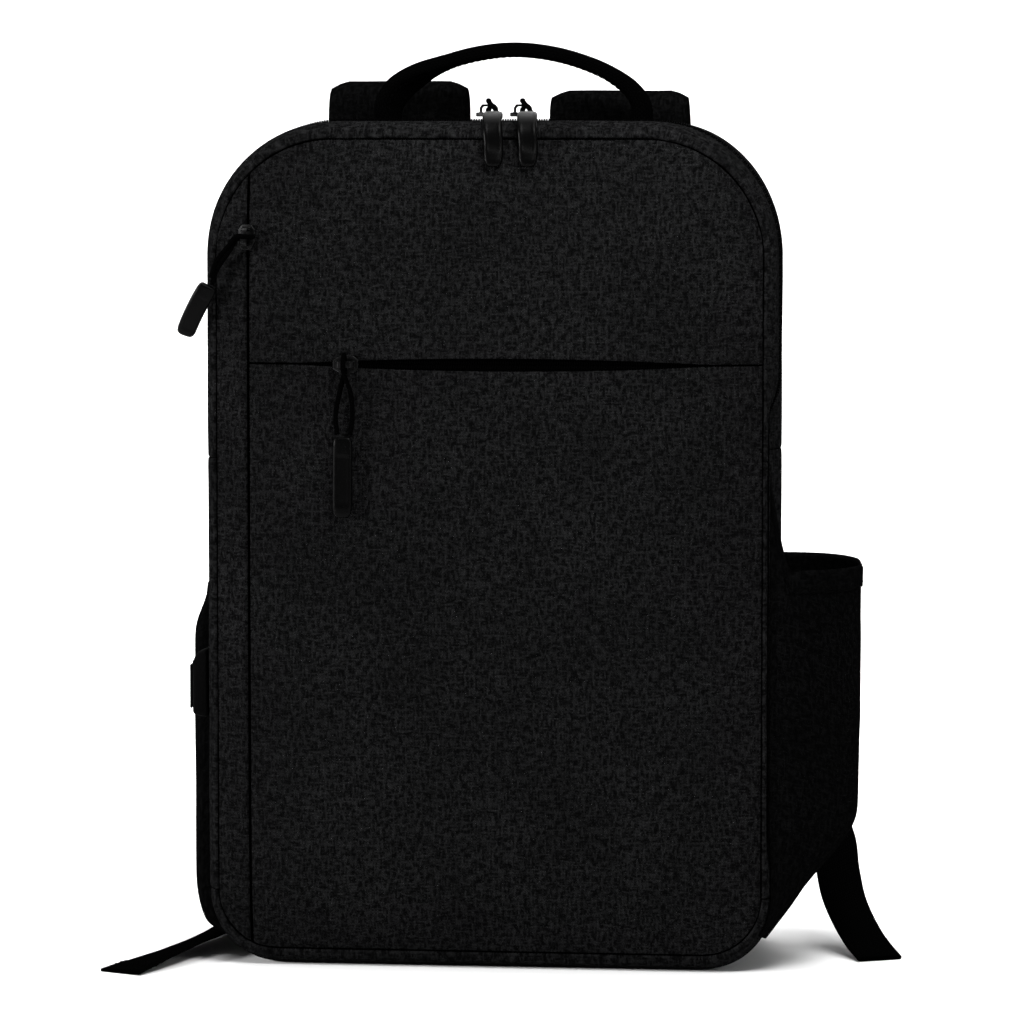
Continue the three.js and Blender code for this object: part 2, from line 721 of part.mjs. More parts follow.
function addHandle() {
  const mirrored = handleTable.toReversed().map((row) => ({ ...row, across: -row.across }));
  const foot = crown + seatGap;
  const rows = [...handleTable, handleTop, ...mirrored].map(({ across, up, width, thickness }) => ({
    point: vector(across * handleHalfSpan, frontY + handleSetback, foot + up * handleRise),
    across: vector(0, 1, 0),
    width: width * handleWidth,
    thickness: thickness * handleThickness,
  }));
  addPiece("carry_handle", stripGeometry(smoothRows(rows, 30), handleRounding), materials.webbing);
}

// Strap route: up is the share of the way from its end to its peak, back the share of the stand-off
const strapTable = [
  { up: 0.868, back: 0.142, aside: 0, width: 1, thick: 0.6 },
  { up: 0.935, back: 0.142, aside: 0, width: 1, thick: 0.62 },
  { up: 0.985, back: 0.27, aside: 0, width: 1, thick: 0.68 },
  { up: 1, back: 0.55, aside: 0, width: 1, thick: 0.72 },
  { up: 0.982, back: 0.83, aside: 0, width: 1, thick: 0.78 },
  { up: 0.92, back: 1, aside: 0.01, width: 1, thick: 0.9 },
  { up: 0.78, back: 1.06, aside: 0.05, width: 0.97, thick: 1 },
  { up: 0.58, back: 1.12, aside: 0.2, width: 0.9, thick: 1 },
  { up: 0.38, back: 1.1, aside: 0.45, width: 0.82, thick: 1 },
  { up: 0.18, back: 1.02, aside: 0.75, width: 0.74, thick: 0.95 },
  { up: 0.04, back: 0.95, aside: 0.96, width: 0.66, thick: 0.8 },
  { up: 0, back: 0.93, aside: 1, width: 0.56, thick: 0.6 },
];
const strapRounding = 0.6;
const strapSides = [
  { name: "left", side: -1, x: leftStrapX, peak: leftStrapPeak },
  { name: "right", side: 1, x: rightStrapX, peak: rightStrapPeak },
];

function strapRows({ side, x, peak }) {
  const peakZ = crown + peak - strapThickness * strapTable[3].thick / 2;
  const at = (up, back, aside) =>
    vector(side * (x + aside * strapSplay), backY + back * strapStandOff, mix(strapEndHeight, peakZ, up));
  return strapTable.map(({ up, back, aside, width, thick }) => ({
    point: at(up, back, aside),
    across: vector(1, 0, 0),
    width: width * strapWidth,
    thickness: thick * strapThickness,
  }));
}

// The ladder lock's own axes at the end of a strap: across, up towards the strap, and outwards
function lockFrame(side, stations) {
  const end = stations[stations.length - 1].point;
  const before = stations[stations.length - 2].point;
  const up = before.clone().sub(end).normalize();
  const away = vector(1, 0, 0).cross(up).negate().normalize();
  const across = up.clone().cross(away).normalize();
  const centre = end.clone().addScaledVector(up, -lockDrop);
  const at = (v, w, u = 0) => centre.clone()
    .addScaledVector(up, v).addScaledVector(away, w).addScaledVector(across, u);
  return { at, across, up, away, side };
}

const lockBars = { top: 3, slot: 6.6, window: 8.2, bottom: 4 };

function addLadderLock(name, lock) {
  const wide = lockWidth / 2;
  const high = lockLength / 2;
  const corner = lockBars.top;
  const outline = outlineShape([
    [-wide + corner, -high], [wide - corner, -high], [wide, -high + corner], [wide, high - corner],
    [wide - corner, high], [-wide + corner, high], [-wide, high - corner], [-wide, -high + corner],
  ]);
  const opening = webbingWidth / 2 + seamGap * 2;
  const hole = (low, tall) => outlineShape([
    [-opening, low], [-opening, low + tall], [opening, low + tall], [opening, low],
  ], THREE.Path);
  outline.holes.push(hole(high - lockBars.top - lockBars.slot, lockBars.slot));
  outline.holes.push(hole(-high + lockBars.bottom, lockBars.window));
  const frame = new THREE.ExtrudeGeometry(outline, { depth: lockThickness, bevelEnabled: false });
  frame.translate(0, 0, -lockThickness / 2);
  const basis = new THREE.Matrix4().makeBasis(lock.across, lock.up, lock.away);
  const centre = lock.at(0, 0);
  frame.applyMatrix4(basis).translate(centre.x, centre.y, centre.z);
  addPiece(`ladder_lock_${name}`, frame, materials.mouldedPlastic);
}

// Half a turn of webbing round one edge of a bar: offsets past that edge and away from the lock's middle
function barTurn(thickness, way) {
  const setIn = lockThickness * 0.3;
  const corner = Math.hypot(setIn, lockThickness / 2);
  const radius = corner + thickness / 2 + seamGap;
  return [90, 45, 0, -45, -90].map((degrees) => {
    const angle = THREE.MathUtils.degToRad(degrees);
    return [way * (setIn - radius * Math.cos(angle)), radius * Math.sin(angle)];
  });
}

// A short loop of webbing that ties the top bar of the lock to the end of the strap
function addBuckleTab(name, lock) {
  const barTop = lockLength / 2;
  const barLow = barTop - lockBars.top;
  const ends = lockDrop - seamGap;
  const flank = (tabWebThickness + seamGap) / 2;
  const turn = barTurn(tabWebThickness, 1);
  const beside = turn[0][1];
  const [above, closing] = [barTop + lockThickness, beside * 0.85];
  const loop = [
    [ends, flank], [above, closing], [barTop, beside],
    ...turn.map(([v, w]) => [barLow + v, w]),
    [barTop, -beside], [above, -closing], [ends, -flank],
  ];
  const rows = loop.map(([v, w]) => ({
    point: lock.at(v, w), across: lock.across, width: webbingWidth, thickness: tabWebThickness,
  }));
  addPiece(`buckle_tab_${name}`, stripGeometry(smoothRows(rows, 27), 0), materials.webbing);
}

// Each free tail of webbing. Its end lies out from the body's side and ahead of the back seam, and its
// start hangs at a height. The rows are shares of these three, with the way that the webbing lies across
const tails = {
  left: {
    out: 47,
    ahead: 153,
    start: 92,
    route: [
      { out: -0.255, ahead: -0.275, up: 1, acrossX: 1, acrossY: 0 },
      { out: -0.043, ahead: -0.275, up: 0.674, acrossX: 0.9, acrossY: -0.3 },
      { out: 0.17, ahead: -0.17, up: 0.36, acrossX: 0.7, acrossY: -0.6 },
      { out: 0.32, ahead: 0.02, up: 0.15, acrossX: 0.97, acrossY: -0.2, acrossZ: 0.1 },
      { out: 0.319, ahead: 0.248, up: 0.078, acrossX: 1, acrossY: -0.05, acrossZ: 0.22 },
      { out: 0.383, ahead: 0.471, up: 0.062, acrossX: 0.98, acrossY: -0.15, acrossZ: 0.25 },
      { out: 0.51, ahead: 0.686, up: 0.058, acrossX: 0.9, acrossY: -0.3, acrossZ: 0.22 },
      { out: 0.7, ahead: 0.856, up: 0.038, acrossX: 0.75, acrossY: -0.55, acrossZ: 0.1 },
      { out: 0.92, ahead: 1, up: 0.0135, acrossX: 0.62, acrossY: -0.78 },
    ],
  },
  right: {
    out: 57,
    ahead: 73,
    start: 96,
    route: [
      { out: -0.158, ahead: -0.603, up: 1, acrossX: 1, acrossY: 0 },
      { out: 0.105, ahead: -0.548, up: 0.854, acrossX: 0.97, acrossY: 0.2 },
      { out: 0.351, ahead: -0.384, up: 0.708, acrossX: 0.9, acrossY: 0.42 },
      { out: 0.509, ahead: -0.178, up: 0.552, acrossX: 0.87, acrossY: 0.5 },
      { out: 0.561, ahead: 0.041, up: 0.396, acrossX: 0.87, acrossY: 0.5 },
      { out: 0.632, ahead: 0.301, up: 0.26, acrossX: 0.87, acrossY: 0.5 },
      { out: 0.754, ahead: 0.575, up: 0.146, acrossX: 0.87, acrossY: 0.5 },
      { out: 0.877, ahead: 0.808, up: 0.068, acrossX: 0.87, acrossY: 0.5 },
      { out: 1, ahead: 1, up: 0.0135, acrossX: 0.87, acrossY: 0.5 },
    ],
  },
};

// The adjusting webbing: from the anchor up behind the lock, round its middle bar, down as the free tail
function addAdjuster(name, lock, anchor) {
  const barEdge = lockLength / 2 - lockBars.top - lockBars.slot;
  const turn = barTurn(webbingThickness, -1).toReversed();
  const [, behind] = turn[0];
  const low = -lockLength / 2;
  const lead = low - webbingWidth / 3;
  const towards = (share) => anchor.end.clone().lerp(lock.at(lead, behind), share);
  const row = (point, across) => ({ point, across, width: webbingWidth, thickness: webbingThickness });
  const foot = [anchor.start, anchor.end.clone().lerp(anchor.start, 0.5), anchor.end, towards(0.25)];
  const climb = [
    towards(0.6), lock.at(lead, behind - webbingThickness * 0.4), lock.at(low, behind),
    ...turn.map(([v, w]) => lock.at(barEdge + v, w)),
    lock.at(low, -behind), lock.at(lead, webbingThickness * 0.67 - behind),
  ];
  const tail = tails[name];
  const free = tail.route.map(({ out, ahead, up, acrossX, acrossY, acrossZ = 0 }) => row(
    vector(lock.side * (halfWidth + out * tail.out), backY - ahead * tail.ahead, up * tail.start),
    vector(acrossX, acrossY, acrossZ)));
  const rows = [
    ...foot.map((point) => row(point, anchor.across)),
    ...climb.map((point) => row(point, lock.across)),
    ...free,
  ];
  addPiece(`adjuster_webbing_${name}`, stripGeometry(smoothRows(rows, 63), 0), materials.webbing);
}

// Anchor tab: a cloth triangle sewn into the back seam near the base
const anchorShares = { above: 0.45, below: 0.4 };
function anchorPlace(side, lock) {
  const x = side * (halfWidth - anchorSetIn);
  const z = anchorHeight;
  const top = anchorLength * anchorShares.above;
  const y = backFace(x - side * anchorBase / 2, z + top) + seatGap;
  const toward = lock.at(0, 0).sub(vector(x, y, z));
  const up = vector(toward.x, 0, toward.z).normalize();
  const lift = anchorThickness + seatGap + webbingThickness / 2;
  const at = (v) => vector(x + up.x * v, y + lift, z + up.z * v);
  const across = up.clone().cross(vector(0, 1, 0)).normalize();
  return { x, y, z, up, across, start: at(-webbingThickness), end: at(top) };
}

function addAnchorTab(name, anchor) {
  const neck = webbingWidth / 2 + seamGap * 2;
  const [top, low] = [anchorLength * anchorShares.above, -anchorLength * anchorShares.below];
  const shape = outlineShape([[-anchorBase / 2, low], [anchorBase / 2, low], [neck, top], [-neck, top]]);
  const tab = new THREE.ExtrudeGeometry(shape, { depth: anchorThickness, bevelEnabled: false });
  tab.applyMatrix4(new THREE.Matrix4().makeBasis(anchor.across, anchor.up, vector(0, 1, 0)));
  tab.translate(anchor.x, anchor.y, anchor.z);
  addPiece(`anchor_tab_${name}`, tab, materials.blackCloth);
}

function addStraps() {
  for (const strap of strapSides) {
    const stations = smoothRows(strapRows(strap), 26);
    addPiece(`shoulder_strap_${strap.name}`, stripGeometry(stations, strapRounding), materials.blackCloth);
    const lock = lockFrame(strap.side, stations);
    const anchor = anchorPlace(strap.side, lock);
    addLadderLock(strap.name, lock);
    addBuckleTab(strap.name, lock);
    addAnchorTab(strap.name, anchor);
    addAdjuster(strap.name, lock, anchor);
  }
}

// A side pocket: one sheet that leaves the gusset near the front, bows out and comes back near the back.
// Its columns crowd towards the two seams, and the lowest rows slope in to the gusset.
// It bows from the undented side, by the taper's share of its bulge at the turn and all of it at the rim
const pocketCrowding = 0.8;
const pocketTurnShare = 0.4;
const pocketSlopeEase = 0.5;
const cornerEase = 1.5;
function pocketGeometry(pocket) {
  const { side, front, back, rim, cornerRim, foot, turn, bulge, taper, fullness, columns, rows } = pocket;
  const middle = frontY + (front + back) / 2;
  const reach = (back - front) / 2;
  const crowd = (place) => place - pocketCrowding * Math.sin(2 * Math.PI * place) / (2 * Math.PI);
  const layer = (wall) => {
    const grid = [];
    for (let i = 0; i <= columns; i++) {
      const angle = Math.PI * crowd(i / columns);
      const swing = Math.sign(Math.cos(angle)) * Math.abs(Math.cos(angle)) ** (2 / fullness);
      const bow = Math.abs(Math.sin(angle)) ** (2 / fullness);
      const y = middle - swing * (reach + wall);
      const corner = swing > 0 ? Math.max(1 - bow / cornerReach, 0) ** cornerEase : 0;
      const top = mix(rim, cornerRim, corner);
      grid.push(Array.from({ length: rows + 1 }, (_, j) => {
        const share = j / rows;
        const under = 1 - Math.cos(Math.min(share / pocketTurnShare, 1) * Math.PI / 2);
        const above = Math.max(share - pocketTurnShare, 0) / (1 - pocketTurnShare);
        const z = mix(mix(foot - wall, foot + turn, under), top, above);
        const undented = sideDent(side, y, z);
        const slope = mix(under, easeStep(under, 0, 1), pocketSlopeEase);
        const full = bulge * slope * mix(taper, 1, above);
        return gussetPoint(stationAtHeight(side, z), y, pocketSeat + bow * (full + undented + wall));
      }));
    }
    return grid;
  };
  return sheetGeometry(layer(pocketWall), layer(0));
}

function addPockets() {
  addPiece("bottle_pocket", pocketGeometry({
    side: 1, front: bottlePocketFront, back: bottlePocketBack, rim: bottlePocketRim,
    cornerRim: bottlePocketCorner, foot: bottlePocketFoot, turn: bottlePocketTurn,
    bulge: bottlePocketBulge, taper: bottlePocketTaper, fullness: 2.5, columns: 16, rows: 10,
  }), materials.blackCloth);
  addPiece("slip_pocket", pocketGeometry({
    side: -1, front: slipPocketFront, back: slipPocketBack, rim: slipPocketRim,
    cornerRim: slipPocketRim, foot: slipPocketFoot, turn: slipPocketTurn,
    bulge: slipPocketBulge, taper: 1, fullness: 4, columns: 14, rows: 10,
  }), materials.blackCloth);
}

// Charging port: a moulded housing with a sloping top on the left side, and a plain cover on its face.
// The profile's rows are shares of the housing's thickness and height, from its foot to its top
const portProfile = [
  { out: 0, up: 0 },
  { out: 0.9, up: 0.033 },
  { out: 1, up: 0.083 },
  { out: 1, up: 0.8 },
  { out: 0.7, up: 0.933 },
  { out: 0, up: 1 },
];
function addPort() {
  const base = -(halfWidth + sideRoll + seatGap);
  const side = outlineShape(portProfile.map(({ out, up }) => [-out * portThickness, up * portHeight]));
  const housing = new THREE.ExtrudeGeometry(side, { depth: portDepth, bevelEnabled: false });
  housing.rotateX(Math.PI / 2).translate(base, frontY + portSetback + portDepth, portBottom);
  addPiece("port_housing", housing, materials.mouldedPlastic);
  const face = portProfile.filter(({ out }) => out === 1).map(({ up }) => up * portHeight);
  const tall = face[1] - face[0] - portCoverMargin;
  const cover = new THREE.BoxGeometry(portCoverThickness, portDepth - portCoverMargin, tall);
  cover.translate(base - portThickness - seatGap - portCoverThickness / 2,
    frontY + portSetback + portDepth / 2, portBottom + (face[0] + face[1]) / 2);
  addPiece("port_cover", cover, materials.mouldedRubber);
}

addFrontPanels();
addFrontTapes();
addGusset();
addBackPanel();
addMainPulls();
addFrontPull();
addSidePull();
addHandle();
addStraps();
addPockets();
addPort();

export default backpack;
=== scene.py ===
"""Looks of a laptop backpack: cloth panels, zips, pulls, straps, webbing and pockets round its frame."""
from __future__ import annotations

import logging
import math
from dataclasses import dataclass
from enum import Enum
from typing import Callable, Iterable, Sequence

import bmesh
import bpy
from mathutils import Matrix, Vector, noise

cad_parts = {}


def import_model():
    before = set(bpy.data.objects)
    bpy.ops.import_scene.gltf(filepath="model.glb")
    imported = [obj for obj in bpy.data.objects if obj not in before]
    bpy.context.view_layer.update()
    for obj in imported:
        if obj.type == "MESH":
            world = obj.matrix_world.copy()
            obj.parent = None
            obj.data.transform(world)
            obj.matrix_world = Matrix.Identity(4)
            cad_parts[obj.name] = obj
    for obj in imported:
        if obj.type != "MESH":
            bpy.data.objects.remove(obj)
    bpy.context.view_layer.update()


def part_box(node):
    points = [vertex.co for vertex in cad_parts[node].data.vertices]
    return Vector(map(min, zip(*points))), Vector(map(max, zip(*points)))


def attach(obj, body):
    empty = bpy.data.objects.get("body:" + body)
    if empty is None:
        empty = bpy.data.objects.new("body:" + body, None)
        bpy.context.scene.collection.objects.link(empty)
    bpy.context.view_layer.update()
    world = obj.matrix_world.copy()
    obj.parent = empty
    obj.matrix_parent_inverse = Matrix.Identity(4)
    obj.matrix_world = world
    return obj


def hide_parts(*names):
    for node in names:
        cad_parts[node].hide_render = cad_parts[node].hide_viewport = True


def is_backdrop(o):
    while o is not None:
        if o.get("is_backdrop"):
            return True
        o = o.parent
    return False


LOG = logging.getLogger("backpack")
MM = 0.001
ROOT = "root"
X_AXIS = Vector((1, 0, 0))
Y_AXIS = Vector((0, 1, 0))
Z_AXIS = Vector((0, 0, 1))

Colour = tuple[float, float, float]
Grid = list[list[Vector]]


class Side(Enum):
    """The two sides of the bag, as someone who looks at its front sees them."""

    LEFT = -1
    RIGHT = 1

    @property
    def word(self) -> str:
        """The side's name as the nodes spell it."""
        return self.name.lower()


class Slot(Enum):
    """The material slots of the record."""

    HEATHER = "heather_cloth"
    CLOTH = "black_cloth"
    AIR_MESH = "air_mesh"
    WEBBING = "webbing"
    ZIP_TAPE = "zip_tape"
    RUBBER = "moulded_rubber"
    PLASTIC = "moulded_plastic"
    METAL = "black_metal"


def mix(low: float, high: float, share: float) -> float:
    """The value that lies at a share of the way from low to high."""
    return low + (high - low) * share


def ease(value: float, low: float, high: float) -> float:
    """A smooth step from 0 at low to 1 at high."""
    share = min(max((value - low) / (high - low), 0.0), 1.0)
    return share * share * (3 - 2 * share)


def rough(x: float, y: float, z: float, size: float) -> float:
    """Smooth noise from about -1 to 1, whose bumps are a given size.

    Args:
        x: Place along the first direction, in metres.
        y: Place along the second direction, in metres.
        z: Any number, which picks one of many patterns.
        size: Width of a bump, in metres.
    """
    return noise.noise(Vector((x / size, y / size, z)))


def read_table(rows: Sequence[Sequence[float]], place: float, column: int = 1) -> float:
    """Reads a column of a table whose first column rises, with a smooth curve through its rows.

    Args:
        rows: The table.
        place: The place in the first column.
        column: The column to read.

    Returns:
        The column's value at that place.
    """
    if place <= rows[0][0]:
        return rows[0][column]
    if place >= rows[-1][0]:
        return rows[-1][column]
    k = next(i for i in range(1, len(rows)) if rows[i][0] >= place)
    low, high = rows[k - 1], rows[k]
    share = (place - low[0]) / (high[0] - low[0])
    return mix(low[column], high[column], share * share * (3 - 2 * share))


def crowded(low: float, high: float, count: int) -> list[float]:
    """Places from low to high, even in the middle and crowded where an edge turns in.

    Args:
        low: The first place.
        high: The last place.
        count: The number of even stretches in the middle.

    Returns:
        The places in rising order, count + 7 of them.
    """
    ends = [share * min(MM, (high - low) / 8) for share in (0, 0.6, 1.4, 2.6)]
    first, last = low + ends[-1], high - ends[-1]
    middle = [mix(first, last, k / count) for k in range(1, count)]
    return [low + e for e in ends] + middle + [high - e for e in reversed(ends)]


def spaced(low: float, high: float, step: float) -> list[float]:
    """Places from low to high, about a step apart, and crowded at both ends."""
    return crowded(low, high, max(round((high - low) / step) - 1, 1))


def smooth_path(points: Sequence[Vector], steps: int) -> list[Vector]:
    """A centripetal Catmull-Rom curve through points, sampled evenly in its parameter.

    Args:
        points: The points that the curve passes through.
        steps: The number of stretches between samples.

    Returns:
        The samples, one more than the steps.
    """
    ends = [points[0] * 2 - points[1], *points, points[-1] * 2 - points[-2]]
    found = []
    for k in range(steps + 1):
        place = k / steps * (len(points) - 1)
        i = min(int(place), len(points) - 2)
        w = place - i
        p0, p1, p2, p3 = ends[i:i + 4]
        d0, d1, d2 = (max((b - a).length, 1e-9) ** 0.5 for a, b in ((p0, p1), (p1, p2), (p2, p3)))
        t1 = ((p1 - p0) / d0 - (p2 - p0) / (d0 + d1) + (p2 - p1) / d1) * d1
        t2 = ((p2 - p1) / d1 - (p3 - p1) / (d1 + d2) + (p3 - p2) / d2) * d1
        third = (p1 - p2) * 2 + t1 + t2
        second = (p2 - p1) * 3 - t1 * 2 - t2
        found.append(p1 + t1 * w + second * w ** 2 + third * w ** 3)
    return found


def seeded_share(index: int, seed: float) -> float:
    """A steady pseudo-random share from 0 to 1 for a counted thing."""
    return math.sin(index * 12.9898 + seed * 78.233) * 43758.5453 % 1.0


class Nodes:
    """A short way to fill a shader tree."""

    def __init__(self, tree: bpy.types.NodeTree) -> None:
        """Keeps the tree that the nodes go into."""
        self.tree = tree

    def add(self, kind: str, inputs: dict | None = None, **settings: object) -> bpy.types.Node:
        """Adds a node.

        Args:
            kind: The node's type.
            inputs: Values or sockets for its input sockets, by name or number.
            **settings: Properties to set on the node.

        Returns:
            The new node.
        """
        node = self.tree.nodes.new(kind)
        for name, value in settings.items():
            setattr(node, name, value)
        for key, value in (inputs or {}).items():
            self.feed(node.inputs[key], value)
        return node

    def feed(self, socket: bpy.types.NodeSocket, value: object) -> None:
        """Links a socket into another, or sets its value."""
        if isinstance(value, bpy.types.NodeSocket):
            self.tree.links.new(value, socket)
        else:
            socket.default_value = value

    def math(self, operation: str, *values: object) -> bpy.types.NodeSocket:
        """The result of a math node."""
        return self.add("ShaderNodeMath", dict(enumerate(values)), operation=operation).outputs[0]

    def ramp(self, value: object, low: float, high: float) -> bpy.types.NodeSocket:
        """A smooth mask that rises from 0 at low to 1 at high."""
        inputs = {"Value": value, "From Min": low, "From Max": high}
        return self.add("ShaderNodeMapRange", inputs, interpolation_type="SMOOTHSTEP").outputs[0]

    def noise(self, vector: object, scale: float, detail: float = 2.0) -> bpy.types.NodeSocket:
        """The value of a noise texture."""
        return self.add("ShaderNodeTexNoise", {"Vector": vector, "Scale": scale, "Detail": detail}).outputs[0]

    def join(self, x: object, y: object, z: object = 0.0) -> bpy.types.NodeSocket:
        """A vector from three values."""
        return self.add("ShaderNodeCombineXYZ", {0: x, 1: y, 2: z}).outputs[0]

    def blend(self, factor: object, a: object, b: object) -> bpy.types.NodeSocket:
        """A colour between two colours."""
        node = self.add("ShaderNodeMix", data_type="RGBA")
        for socket, value in ((node.inputs[0], factor), (node.inputs[6], a), (node.inputs[7], b)):
            self.feed(socket, value)
        return node.outputs[2]


def new_group(name: str, inputs: Sequence[tuple[str, str, object]],
              outputs: Sequence[tuple[str, str]]) -> tuple[bpy.types.NodeTree, Nodes, object, object]:
    """Starts a shader node group with named sockets.

    Args:
        name: The group's name.
        inputs: Name, kind and first value of each input.
        outputs: Name and kind of each output.

    Returns:
        The tree, its filler, its input node and its output node.
    """
    tree = bpy.data.node_groups.new(name, "ShaderNodeTree")
    for label, kind, value in inputs:
        socket = tree.interface.new_socket(name=label, in_out="INPUT", socket_type="NodeSocket" + kind)
        if value is not None:
            socket.default_value = value
    for label, kind in outputs:
        tree.interface.new_socket(name=label, in_out="OUTPUT", socket_type="NodeSocket" + kind)
    return tree, Nodes(tree), tree.nodes.new("NodeGroupInput"), tree.nodes.new("NodeGroupOutput")


def thread_group() -> bpy.types.NodeTree:
    """The plain weave: threads as a height, and each thread's own lightness along its length.

    Returns:
        A group with outputs Height, and Pale, the share of pale fibre in the thread that lies on top.
    """
    inputs = [("Vector", "Vector", None), ("Pitch", "Float", 0.0006), ("Slub", "Float", 0.004),
              ("Low", "Float", 0.5), ("High", "Float", 0.7), ("Streak", "Float", 0.0016)]
    tree, nodes, take, give = new_group("plain weave", inputs, [("Height", "Float"), ("Pale", "Float")])
    split = nodes.add("ShaderNodeSeparateXYZ", {0: take.outputs["Vector"]})
    pitch, slub = take.outputs["Pitch"], take.outputs["Slub"]
    across, along = (nodes.math("DIVIDE", split.outputs[k], pitch) for k in (0, 1))
    across_slub, along_slub = (nodes.math("DIVIDE", split.outputs[k], slub) for k in (0, 1))
    warp_row, weft_row = nodes.math("FLOOR", across), nodes.math("FLOOR", along)
    step = 7.31
    warp = nodes.noise(nodes.join(nodes.math("MULTIPLY", warp_row, step), along_slub, 0.0), 1.0)
    weft = nodes.noise(nodes.join(nodes.math("MULTIPLY", weft_row, step), across_slub, 40.0), 1.0)
    over = nodes.math("MODULO", nodes.math("ABSOLUTE", nodes.math("ADD", warp_row, weft_row)), 2.0)
    thread = nodes.add("ShaderNodeMix", {0: over, 2: warp, 3: weft}, data_type="FLOAT").outputs[0]
    pale = nodes.add("ShaderNodeMapRange", {"Value": thread, "From Min": take.outputs["Low"],
                                            "From Max": take.outputs["High"]}, interpolation_type="SMOOTHSTEP")
    streak = take.outputs["Streak"]
    stretch = 2.8
    thin = [nodes.math("DIVIDE", split.outputs[k], streak) for k in (0, 1)]
    long = [nodes.math("DIVIDE", thin[k], stretch) for k in (0, 1)]
    upright = nodes.noise(nodes.join(thin[0], long[1], 11.0), 1.0, 1.0)
    level = nodes.noise(nodes.join(long[0], thin[1], 23.0), 1.0, 1.0)
    streaks = nodes.math("MAXIMUM", nodes.ramp(upright, 0.42, 0.7), nodes.ramp(level, 0.45, 0.72))
    round_warp, round_weft = (nodes.math("ABSOLUTE", nodes.math("SINE", nodes.math("MULTIPLY", v, math.pi)))
                              for v in (across, along))
    low_thread, high_thread = 0.35, 1.0
    warp_height = nodes.math("MULTIPLY", round_warp, nodes.add(
        "ShaderNodeMapRange", {"Value": over, "To Min": high_thread, "To Max": low_thread}).outputs[0])
    weft_height = nodes.math("MULTIPLY", round_weft, nodes.add(
        "ShaderNodeMapRange", {"Value": over, "To Min": low_thread, "To Max": high_thread}).outputs[0])
    nodes.feed(give.inputs["Height"], nodes.math("MAXIMUM", warp_height, weft_height))
    mingled = nodes.math("ADD", nodes.math("MULTIPLY", pale.outputs[0], 0.45), nodes.math("MULTIPLY", streaks, 0.55))
    nodes.feed(give.inputs["Pale"], mingled)
    return tree


def rib_group() -> bpy.types.NodeTree:
    """Webbing: rows of small raised floats across the strap, each beside the next by half a step.

    Returns:
        A group with output Height, from 0 to 1.
    """
    inputs = [("Vector", "Vector", None), ("Across", "Float", 0.0016), ("Along", "Float", 0.0024)]
    tree, nodes, take, give = new_group("webbing ribs", inputs, [("Height", "Float")])
    split = nodes.add("ShaderNodeSeparateXYZ", {0: take.outputs["Vector"]})
    across = nodes.math("DIVIDE", split.outputs[0], take.outputs["Across"])
    row = nodes.math("FLOOR", across)
    shift = nodes.math("MULTIPLY", nodes.math("MODULO", nodes.math("ABSOLUTE", row), 2.0), 0.5)
    along = nodes.math("ADD", nodes.math("DIVIDE", split.outputs[1], take.outputs["Along"]), shift)
    waves = [nodes.math("ABSOLUTE", nodes.math("SINE", nodes.math("MULTIPLY", v, math.pi))) for v in (across, along)]
    soft = nodes.math("POWER", nodes.math("MULTIPLY", waves[0], waves[1]), 0.6)
    nodes.feed(give.inputs["Height"], soft)
    return tree


def grain_group() -> bpy.types.NodeTree:
    """A moulded surface: fine grain as a height, and a mask of rubbed places.

    Returns:
        A group with outputs Height and Rubbed.
    """
    inputs = [("Vector", "Vector", None), ("Grain", "Float", 900.0), ("Patch", "Float", 60.0)]
    tree, nodes, take, give = new_group("moulded grain", inputs, [("Height", "Float"), ("Rubbed", "Float")])
    grain = nodes.add("ShaderNodeTexNoise", {"Vector": take.outputs["Vector"], "Scale": take.outputs["Grain"],
                                             "Detail": 3.0})
    patch = nodes.add("ShaderNodeTexNoise", {"Vector": take.outputs["Vector"], "Scale": take.outputs["Patch"],
                                             "Detail": 4.0})
    nodes.feed(give.inputs["Height"], grain.outputs[0])
    nodes.feed(give.inputs["Rubbed"], nodes.ramp(patch.outputs[0], 0.5, 0.75))
    return tree


def edge_group() -> bpy.types.NodeTree:
    """Wear where a hard piece's edges stand out, from the bend of its surface.

    Returns:
        A group with output Worn, a mask from 0 to 1.
    """
    tree, nodes, take, give = new_group("edge wear", [("Vector", "Vector", None)], [("Worn", "Float")])
    bend = nodes.add("ShaderNodeNewGeometry").outputs["Pointiness"]
    broken = nodes.noise(take.outputs["Vector"], 700.0, 3.0)
    nodes.feed(give.inputs["Worn"], nodes.math("MULTIPLY", nodes.ramp(bend, 0.52, 0.6), nodes.ramp(broken, 0.4, 0.6)))
    return tree


GROUP_MAKERS: dict[str, Callable[[], bpy.types.NodeTree]] = {
    "plain weave": thread_group,
    "webbing ribs": rib_group,
    "moulded grain": grain_group,
    "edge wear": edge_group,
}


def place_group(nodes: Nodes, name: str, inputs: dict) -> bpy.types.Node:
    """Places a shared group in a material, and makes the group the first time.

    Args:
        nodes: The material's filler.
        name: The group's name.
        inputs: Values or sockets for its inputs.

    Returns:
        The group's node.
    """
    tree = bpy.data.node_groups.get(name) or GROUP_MAKERS[name]()
    node = nodes.add("ShaderNodeGroup", node_tree=tree)
    for key, value in inputs.items():
        nodes.feed(node.inputs[key], value)
    return node


def start_material(name: str) -> tuple[bpy.types.Material, Nodes, bpy.types.Node]:
    """A new material with its filler and its shader."""
    material = bpy.data.materials.new(name)
    material.use_nodes = True
    shader = material.node_tree.nodes["Principled BSDF"]
    return material, Nodes(material.node_tree), shader


def grey(value: float) -> tuple[float, float, float, float]:
    """A neutral colour with a breath of blue, as dyed black polyester has."""
    return (value * 0.99, value, value * 1.03, 1.0)


